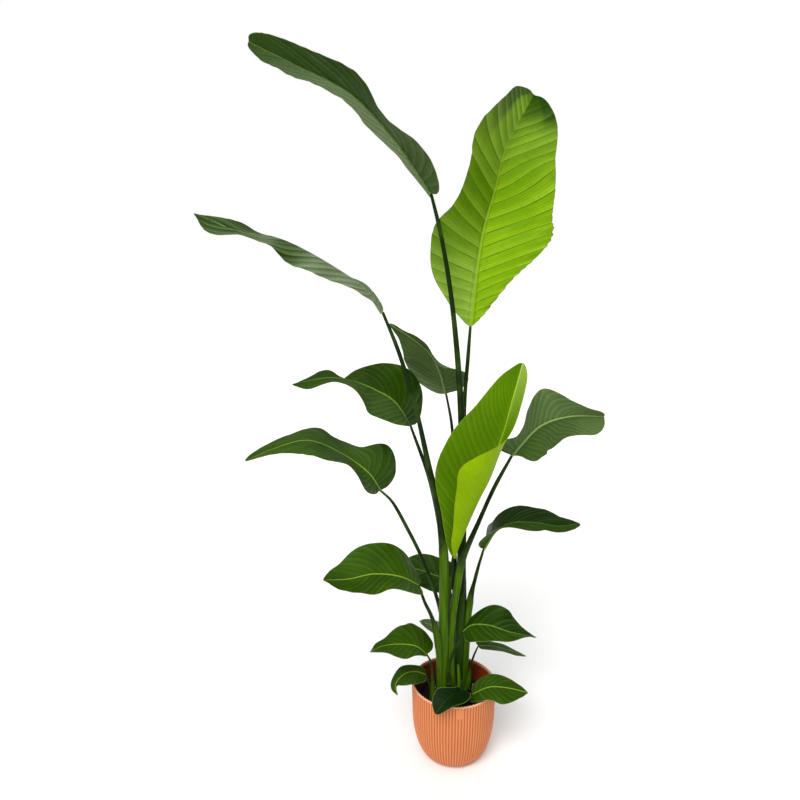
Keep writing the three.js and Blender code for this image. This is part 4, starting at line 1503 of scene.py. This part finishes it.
@dataclass
class Studio:
    """White floor, pale surroundings, soft lamps and the camera."""

    eye: tuple[float, float, float] = (-0.141, -1.522, 1.271)
    tilt: float = 11.75
    lens: float = 29.25
    glow: float = 0.25
    # Each lamp's name, place, spread in degrees and strength
    lamps: tuple = (("key", (-0.8, -1.9, 2.2), 35.0, 2.6), ("top", (0.2, 0.1, 3.0), 90.0, 1.3))

    def build(self, finishes: Finishes) -> None:
        """Set up the floor, the lights and the camera.

        Args:
            finishes: the plant's finishes.
        """
        self.floor(finishes)
        self.lights()
        self.camera()

    def floor(self, finishes: Finishes) -> None:
        """Lay a wide floor at the foot of the planter.

        Args:
            finishes: the plant's finishes.
        """
        deselect()
        bpy.ops.mesh.primitive_plane_add(size=30)
        floor = bpy.context.object
        floor.name = "studio_floor"
        floor.data.materials.append(finishes.floor.material())

    def lights(self) -> None:
        """Hang a soft key lamp up left and a wide one overhead, and light the surroundings."""
        world = bpy.data.worlds.new("surroundings")
        bpy.context.scene.world = world
        world.use_nodes = True
        tree = world.node_tree
        back = tree.nodes["Background"]
        back.inputs["Color"].default_value = linear("ffffff")
        seen = add_node(tree, "LightPath").outputs["Is Camera Ray"]
        shown = add_node(tree, "MapRange", {}, {0: seen, 3: self.glow, 4: 1.0}).outputs[0]
        tree.links.new(shown, back.inputs["Strength"])
        for name, place, spread, power in self.lamps:
            lamp = bpy.data.lights.new(name, "SUN")
            lamp.energy = power
            lamp.angle = math.radians(spread)
            self.hold(lamp, place, Vector(place).to_track_quat("Z", "Y").to_euler())

    def hold(self, data: bpy.types.ID, place: Sequence[float], turn: Euler) -> bpy.types.Object:
        """Hold a lamp or the camera at a place.

        Args:
            data: the lamp or the camera.
            place: where it stands, in metres.
            turn: how it is turned from looking straight down.

        Returns:
            The holder.
        """
        holder = bpy.data.objects.new(data.name, data)
        bpy.context.scene.collection.objects.link(holder)
        holder.location = place
        holder.rotation_euler = turn
        return holder

    def camera(self) -> None:
        """Stand the camera where the photograph was taken from."""
        data = bpy.data.cameras.new("camera")
        data.lens = self.lens
        data.sensor_width = 36
        bpy.context.scene.camera = self.hold(data, self.eye, Euler((math.radians(90 - self.tilt), 0, 0)))
        bpy.context.scene.view_settings.view_transform = "Standard"


# The plant

def blades() -> list[Blade]:
    """List the leaf blades in the order of their numbers.

    Returns:
        The 18 blades.
    """
    up = (0, 0, 1)
    return [
        Blade("leaf_01", up,
              [(-70, 25, 1430), (-105, 15, 1480), (-155, 0, 1545), (-245, -30, 1630), (-360, -60, 1680),
               (-450, -75, 1718)], Half((52, 98, 98, 110, 92, 70, 45), (5, 5, -12, -2, 8, 12, 20)),
              Half((85, 112, 110, 120, 118, 88, 48), (15, 10, 5, 7, 5, -2, -14)), (-35, 12, 30), (2, 4), 4,
              pleat=24, fold=0.45, sweep=(0.9, 0.8),
              tone=Tone(((0.3, 0.3, 0.4, 0.6, 0.6, 0.6, 0.4), (0, 0, 0, 0.1, 0.2, 0.3, 0.2)),
                        ((0.15, 0.15, 0.1, 0, 0, 0, 0), (0.5, 0.6, 0.6, 0.5, 0.35, 0.15, 0)))),
        Blade("leaf_02", up,
              [(-180, -35, 1165), (-215, -50, 1215), (-290, -70, 1270), (-395, -100, 1325),
               (-480, -122, 1340), (-565, -135, 1375)],
              Half((16, 62, 94, 88, 66, 62, 24),
                   (-10, -15, -20, -22, -25, -30, -32, -28, -17, -7, -24, -24, -15)),
              Half((20, 36, 72, 75, 58, 44, 22), (60, 40, 15, -5, -20, -22, -20, -14, 4, 24, 29, 18, 0)),
              (-35, 12, 35), (3, 5), 4, pleat=22, fold=1.0, sweep=(0.8, 0.8), pleat_shading=0.5,
              tone=Tone(((0, 0, 0.1, 0.3, 0.3, 0.2, 0.2), (0, 0, 0.1, 0.3, 0.5, 0.3, 0.2)),
                        ((1, 1, 0.9, 1, 0.7, 0.8, 0.25, 0.1, 0.4, 0.1, 0.15, 0.1, 0),
                         (0.6, 0.8, 0.7, 0.5, 0.6, 0.4, 0.15, 0.3, 0.4, 0.15, 0.1, 0.1, 0)))),
        Blade("leaf_03", (0, -1, 0),
              [(30, 60, 1125), (45, 75, 1270), (60, 85, 1360), (87, 95, 1455), (107, 105, 1535),
               (180, 150, 1670)],
              Half((25, 60, 102, 121, 126, 103, 102, 116, 128, 108, 86, 66, 46),
                   (0, 0, 20, 40, 50, 46, 20)),
              Half((18, 78, 164, 150, 130, 104, 66), (5, 5, 5, 5, 5, 5, -5)), (0, 12, 38), (3, 5), 5,
              pleat=26, fold=1.0, sweep=(0.12, 0.5), curl=(0.3, 0.3), frill=((0, 0), (3, 7, 6, 2, 0, 0, 0)),
              age=Age.YOUNG, columns=20,
              tone=Tone(((0.1, 0.1, 0.15, 0.25, 0.35, 0.45, 0.5, 0.4, 0.35, 0.25, 0.2, 0.3, 0.9),
                         (0, 0, 0, 0, 0, 0.05, 0.1, 0.15, 0.2, 0.3, 0.4, 0.8, 1.0)),
                        ((0.35, 0.3, 0.1, 0, 0.1, 0.25, 0.1), (0, 0, 0, 0, 0.05, 0.1, 0)),
                        ((0, 0, 0, 0, 0.1, 0.8, 1), (0, 0, 0, 0, 0, 0.1, 0.4)))),
        Blade("leaf_04", (0.4, 0.9, 0.2),
              [(-20, 150, 940), (-40, 120, 1005), (-65, 90, 1055), (-115, 50, 1100), (-165, 20, 1135)],
              Half((8, 70, 80, 66, 45, 12, 12), (0, 0, -30, -64, -45, -35, -20)),
              Half((80, 90, 86, 70, 46, 24, 16), (40, 12, 0, -11, -5, 15, 30)), (-38, 12, 35), (2, 4), 3.5,
              pleat=12, fold=0.35, sweep=(2, 2), tone=Tone(wax_and_sheen=((0.3, 0.25, 0.2), (0.35, 0.3, 0.2)))),
        Blade("leaf_05", up,
              [(-114, 84, 871), (-155, 75, 935), (-205, 65, 968), (-265, 45, 995), (-315, 30, 1003),
               (-400, 15, 990)], Half((16, 66, 94, 88, 44, 50, 22), (0, -35, -33, -18, -4, -14, -10)),
              Half((54, 106, 94, 58, 50, 44, 20), (30, 42, 50, 52, 48, 40, 26, -8, 10, 12, 3, -3, -10)),
              (-45, 12, 35), (2, 4), 3.5, pleat=13, fold=0.5,
              tone=Tone(((0, 0, 0, 0.1, 0.3), (0.3, 0.1, 0, 0, 0.2)), ((0.15, 0.1, 0), (0.05, 0, 0)))),
        Blade("leaf_06", up,
              [(-190, 60, 705), (-220, 50, 755), (-290, 30, 815), (-365, 5, 853), (-445, -25, 840),
               (-508, -40, 814)], Half((8, 84, 84, 90, 68, 42, 18), (-20, -20, -4, -12, -10, 2, 7)),
              Half((46, 82, 98, 56, 71, 78, 76, 66, 54, 58, 60, 48, 34), (55, 60, 20, 16, 4, 0, 2)),
              (-42, 12, 35), (2, 4), 3.5, pleat=13, fold=0.5,
              tone=Tone(wax_and_sheen=((0.1, 0.05, 0), (0.05, 0.1, 0)))),
        Blade("leaf_07", up,
              [(-95, -60, 505), (-140, -75, 535), (-205, -97, 553), (-260, -120, 552), (-318, -140, 559)],
              Half((34, 58, 74, 76, 68, 54, 26), (-14, -8, -1, -8, -5, 4, 20)),
              Half((68, 88, 84, 77, 60, 38, 16), (5, 27, 42, 42, 31, 28, 17)), (-45, 12, 30), (2, 3), 3,
              pleat=13, fold=0.5),
        Blade("leaf_08", (0, -0.6, 1), [(-2, 88, 446), (-38, 95, 450), (-98, 107, 465), (-143, 117, 460)],
              Half(52, (5, 5, 5)), Half(55, (5, 5, 5)), (-30, 12, 35), (1, 2), 2.5, pleat=14, fold=0.4,
              columns=12, tone=Tone(((0.6, 0.5), (0.6, 0.5)))),
        Blade("leaf_09", (0, -0.2, 1), [(-15, 60, 280), (-35, 70, 305), (-60, 80, 315), (-88, 88, 322)],
              Half(24, (5, 5, 5)), Half(24, (5, 5, 5)), (-20, 12, 35), (0, 1), 2.5, pleat=10, fold=0.3,
              columns=11, tone=Tone(wax_and_sheen=((0.5, 0.5), (0.5, 0.5)))),
        Blade("leaf_10", up,
              [(-72, -31, 297), (-100, -50, 333), (-145, -72, 353), (-188, -94, 360), (-214, -105, 352)],
              Half((8, 20, 36, 49, 48, 34, 10), (-19, -25, -14, -16, -7, 12, 25)),
              Half((34, 42, 46, 49, 54, 48, 44, 36, 28, 24, 22, 16, 10), (80, 66, 54, 50, 15, -5, -20)),
              (-50, 12, 35), (1, 2), 2.5, pleat=14, fold=0.4, columns=13),
        Blade("leaf_11", (-0.3, -0.5, 1),
              [(-75, -30, 240), (-100, -40, 255), (-130, -60, 262), (-152, -75, 244), (-148, -86, 221)],
              Half((16, 28, 36, 34, 22, 4, 2.2), (0, -10, -10)),
              Half((15, 19, 23, 23, 19, 13, 5), (0, 0, -10)), (-35, 12, 30), (1, 2), 2.2, pleat=10,
              fold=0.3, tone=Tone(((0.4, 0.4), (0.4, 0.4))), columns=12),
        Blade("leaf_12", (0, -0.2, 1),
              [(8, -88, 241), (-10, -106, 238), (-33, -124, 229), (-55, -140, 209)],
              Half((30, 37, 37, 32, 25, 15, 8), (-10, -10, -5)),
              Half((10, 14, 22, 31, 38, 28, 10), (15, 15, 10)), (-35, -25, 10), (1, 2), 2.2, pleat=11,
              fold=0.3, columns=13, pleat_shading=0, tone=Tone(((1.0, 0.9), (1.0, 0.9)))),
        Blade("leaf_13", (0, -0.15, 1), [(45, -50, 198), (85, -63, 227), (130, -75, 233), (178, -85, 227)],
              Half((28, 40, 43, 37, 29, 18, 6), (5, 5, 0)), Half((28, 37, 44, 54, 44, 24, 7), (5, -3, -3)),
              (-40, 12, 35), (1, 2), 2.2, pleat=12, fold=0.2, columns=13),
        Blade("leaf_14", up,
              [(15, -60, 380), (35, -65, 400), (75, -72, 405), (125, -80, 392), (192, -90, 383)],
              Half((34, 46, 58, 54, 44, 25, 9), (-11, -3, 28, 45, 20, 0, -18)),
              Half((30, 42, 50, 43, 34, 20, 9), (-70, -40, -18, -11, -2, 18, 36)), (-45, 12, 40), (1, 2),
              2.5, pleat=14, fold=0.5, columns=14, tone=Tone(((0.4, 0.5, 0.6), (0.4, 0.3, 0.2)))),
        Blade("leaf_15", (0.2, 0.2, 1), [(65, 20, 290), (95, 25, 287), (135, 30, 275), (195, 35, 250)],
              Half(30, (5, 5, 0)), Half(30, (5, 0, 0)), (-30, 12, 35), (1, 2), 2.2, pleat=11, fold=0.3,
              columns=12),
        Blade("leaf_16", up,
              [(75, 40, 555), (105, 35, 608), (150, 27, 632), (210, 18, 634), (255, 8, 630), (307, 0, 640)],
              Half((30, 94, 66, 72, 74, 70, 65, 61, 56, 46, 36, 26, 16), (0, 6, 11, 19, 20, 14, -5)),
              Half((26, 56, 62, 72, 52, 45, 24), (50, 26, 13, 5, 5, 5, 1)), (-12, 12, 35), (1, 3), 3,
              pleat=12, fold=0.4, tone=Tone(((0.5, 0.7, 0.8, 0.6), (0.1, 0.3, 0.5, 0.4)))),
        Blade("leaf_17", (0, 1, 0.2),
              [(135, 20, 810), (155, 25, 835), (205, 40, 880), (280, 60, 900), (378, 85, 895)],
              Half((10, 34, 76, 84, 88, 96, 104, 104, 76, 60, 52, 52, 50), (32, 18, 10, 18, 16, -10, -25)),
              Half((44, 60, 52, 46, 68, 80, 84, 66, 46, 34, 27, 22, 18),
                   (10, -14, -42, -32, -15, 5, 15, 3, -13, -24, -30, -33, -35)), (-30, -5, 20), (2, 4), 3.5,
              pleat=12, fold=0.18, pleat_shading=0.05, sweep=(2, 1),
              tone=Tone(wax_and_sheen=((0.1, 0.15, 0.3), (0.25, 0.3, 0.2)))),
        Blade("leaf_18", (0, -1, 0),
              [(-10, -30, 565), (20, -32, 655), (54, -34, 748), (84, -32, 824), (106, -28, 888),
               (120, -22, 943), (150, 5, 1043)],
              Half((20, 66, 123, 122, 95, 58, 25), (15, 15, 10, 0, 0, 5, 20)),
              Half((20, 45, 66, 98, 132, 172, 136, 95, 66, 62, 56, 42, 24), (90, 88, 85, 84, 82, 80, 70),
                   (95, 95, 92, 76, 14, 0, 0)), (5, 12, 40), (1, 3), 4.5, pleat=14, fold=0.35,
              pleated=(1.0, 0.25), sweep=(0.65, 0.65), pleat_shading=0.05, age=Age.FURLED, columns=20,
              tone=Tone(((0.6, 0.6, 0.5), (0.5, 0.4, 0.1)), ((0, 0), (0, 0, 0, 0, 0, 0.3, 0.7)))),
    ]


def shoots(leaves: dict[str, Blade]) -> list[Shoot]:
    """List the shoots and their stalks.

    Args:
        leaves: the blades by name.

    Returns:
        The four shoots, each with its stalks.
    """
    def stalk(shoot: str, number: int, foot: float, neck: float, slims: tuple[float, float],
              via: Points, sheath: float, pale: float) -> Stalk:
        """Make the stalk of the leaf of that number."""
        name = f"leaf_{number:02d}"
        return Stalk(shoot, name, foot, neck, slims, via, sheath, pale, leaves[name])

    left, right, side, front = "shoot_left", "shoot_right", "shoot_side", "shoot_front"
    return [
        Shoot(left, (-30, -18), 17, [
            stalk(left, 2, 12.5, 5.2, (450, 1000), [(-30, -20, 300), (-30, -22, 445), (-32, -25, 555),
                  (-46, -28, 685), (-70, -30, 790), (-106, -30, 950), (-146, -30, 1080)], 600, 0.8),
            stalk(left, 18, 10, 5, (200, 500), [(-27, -20, 300), (-20, -27, 445)], 500, 0.1),
            stalk(left, 6, 9, 5, (220, 400), [(-30, -8, 300), (-38, 8, 400), (-81, 30, 525),
                  (-123, 45, 610), (-163, 55, 680)], 380, 0.4),
            stalk(left, 7, 10, 4.6, (320, 430), [(-38, -26, 280), (-46, -34, 345), (-62, -41, 410),
                  (-80, -50, 455)], 390, 0.6),
        ]),
        Shoot(right, (14, 18), 26, [
            stalk(right, 1, 12, 5.5, (450, 1350), [(14, 15, 310), (16, 15, 530), (13, 10, 750),
                  (5, 10, 950), (-20, 15, 1190), (-48, 20, 1345)], 440, 0.15),
            stalk(right, 3, 10, 5, (350, 900), [(24, 30, 300), (21, 40, 525), (19, 50, 945),
                  (25, 55, 1045)], 470, 0.2),
            stalk(right, 4, 9, 4, (300, 800), [(8, 38, 300), (1, 60, 530), (-5, 120, 850)], 420, 0.2),
            stalk(right, 5, 9, 5.2, (300, 700), [(0, 30, 300), (-25, 50, 520), (-65, 70, 730)], 400, 0.2),
            stalk(right, 16, 9.5, 5, (405, 475), [(32, 18, 280), (35, 22, 365), (44, 25, 438),
                  (52, 30, 470), (63, 35, 515)], 432, 0.6),
            stalk(right, 17, 9.5, 5.3, (480, 690), [(-4, -6, 200), (-11, -7, 325), (2, -10, 465),
                  (15, -10, 545), (57, 0, 650), (92, 10, 730)], 540, 1.0),
            stalk(right, 8, 6, 3.5, (250, 350), [(14, 40, 250), (14, 66, 350)], 260, 0.2),
            stalk(right, 9, 6, 3.5, (180, 260), [(-2, 34, 220)], 200, 0.2),
            stalk(right, 15, 7, 3.4, (180, 245), [(38, 12, 180), (46, 15, 235), (53, 17, 262)], 225, 0.7),
        ]),
        Shoot(side, (-58, -28), 9, [
            stalk(side, 10, 6, 3.4, (190, 270), [(-56, -26, 200), (-58, -26, 250),
                  (-62, -27, 275)], 222, 0.6),
            stalk(side, 11, 5.5, 3, (160, 210), [(-60, -28, 190), (-66, -28, 215)], 190, 0.5),
        ]),
        Shoot(front, (12, -40), 15, [
            stalk(front, 12, 6, 3, (190, 240), [(14, -42, 200), (17, -52, 234), (14, -68, 246)], 205, 0.2),
            stalk(front, 13, 6, 3, (160, 200), [(22, -42, 180), (32, -45, 195)], 178, 0.3),
            stalk(front, 14, 5.5, 4.2, (180, 300), [(-6, -42, 205), (-19, -50, 268), (-11, -52, 305),
                  (3, -56, 345)], 230, 0.1),
            Stalk(front, "sheath", 7, 1.2, (170, 330), [(11, -45, 215), (6, -48, 280)], 320, 0.8),
        ]),
    ]


@dataclass
class Plant:
    """The whole potted plant."""

    finishes: Finishes = field(default_factory=Finishes)
    planter: Planter = field(default_factory=Planter)
    pot: GrowPot = field(default_factory=GrowPot)

    def build(self) -> None:
        """Make the planter, the grow pot, the soil, the shoots and the leaves, in that order."""
        leaves = {blade.name: blade for blade in blades()}
        stand = shoots(leaves)
        self.planter.build(self.finishes)
        self.pot.build(self.finishes)
        Soil(self.pot, stand).build(self.finishes)
        for shoot in stand:
            shoot.build(self.finishes)
        for blade in leaves.values():
            blade.build(self.finishes)


def main() -> None:
    """Build the plant round the loaded frame and set up the studio."""
    logging.basicConfig(level=logging.INFO, format="%(name)s: %(message)s")
    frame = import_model()
    LOG.info("frame loaded: %s", type(frame).__name__)
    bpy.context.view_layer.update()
    plant = Plant()
    plant.build()
    Studio().build(plant.finishes)


if __name__ == "__main__":
    main()
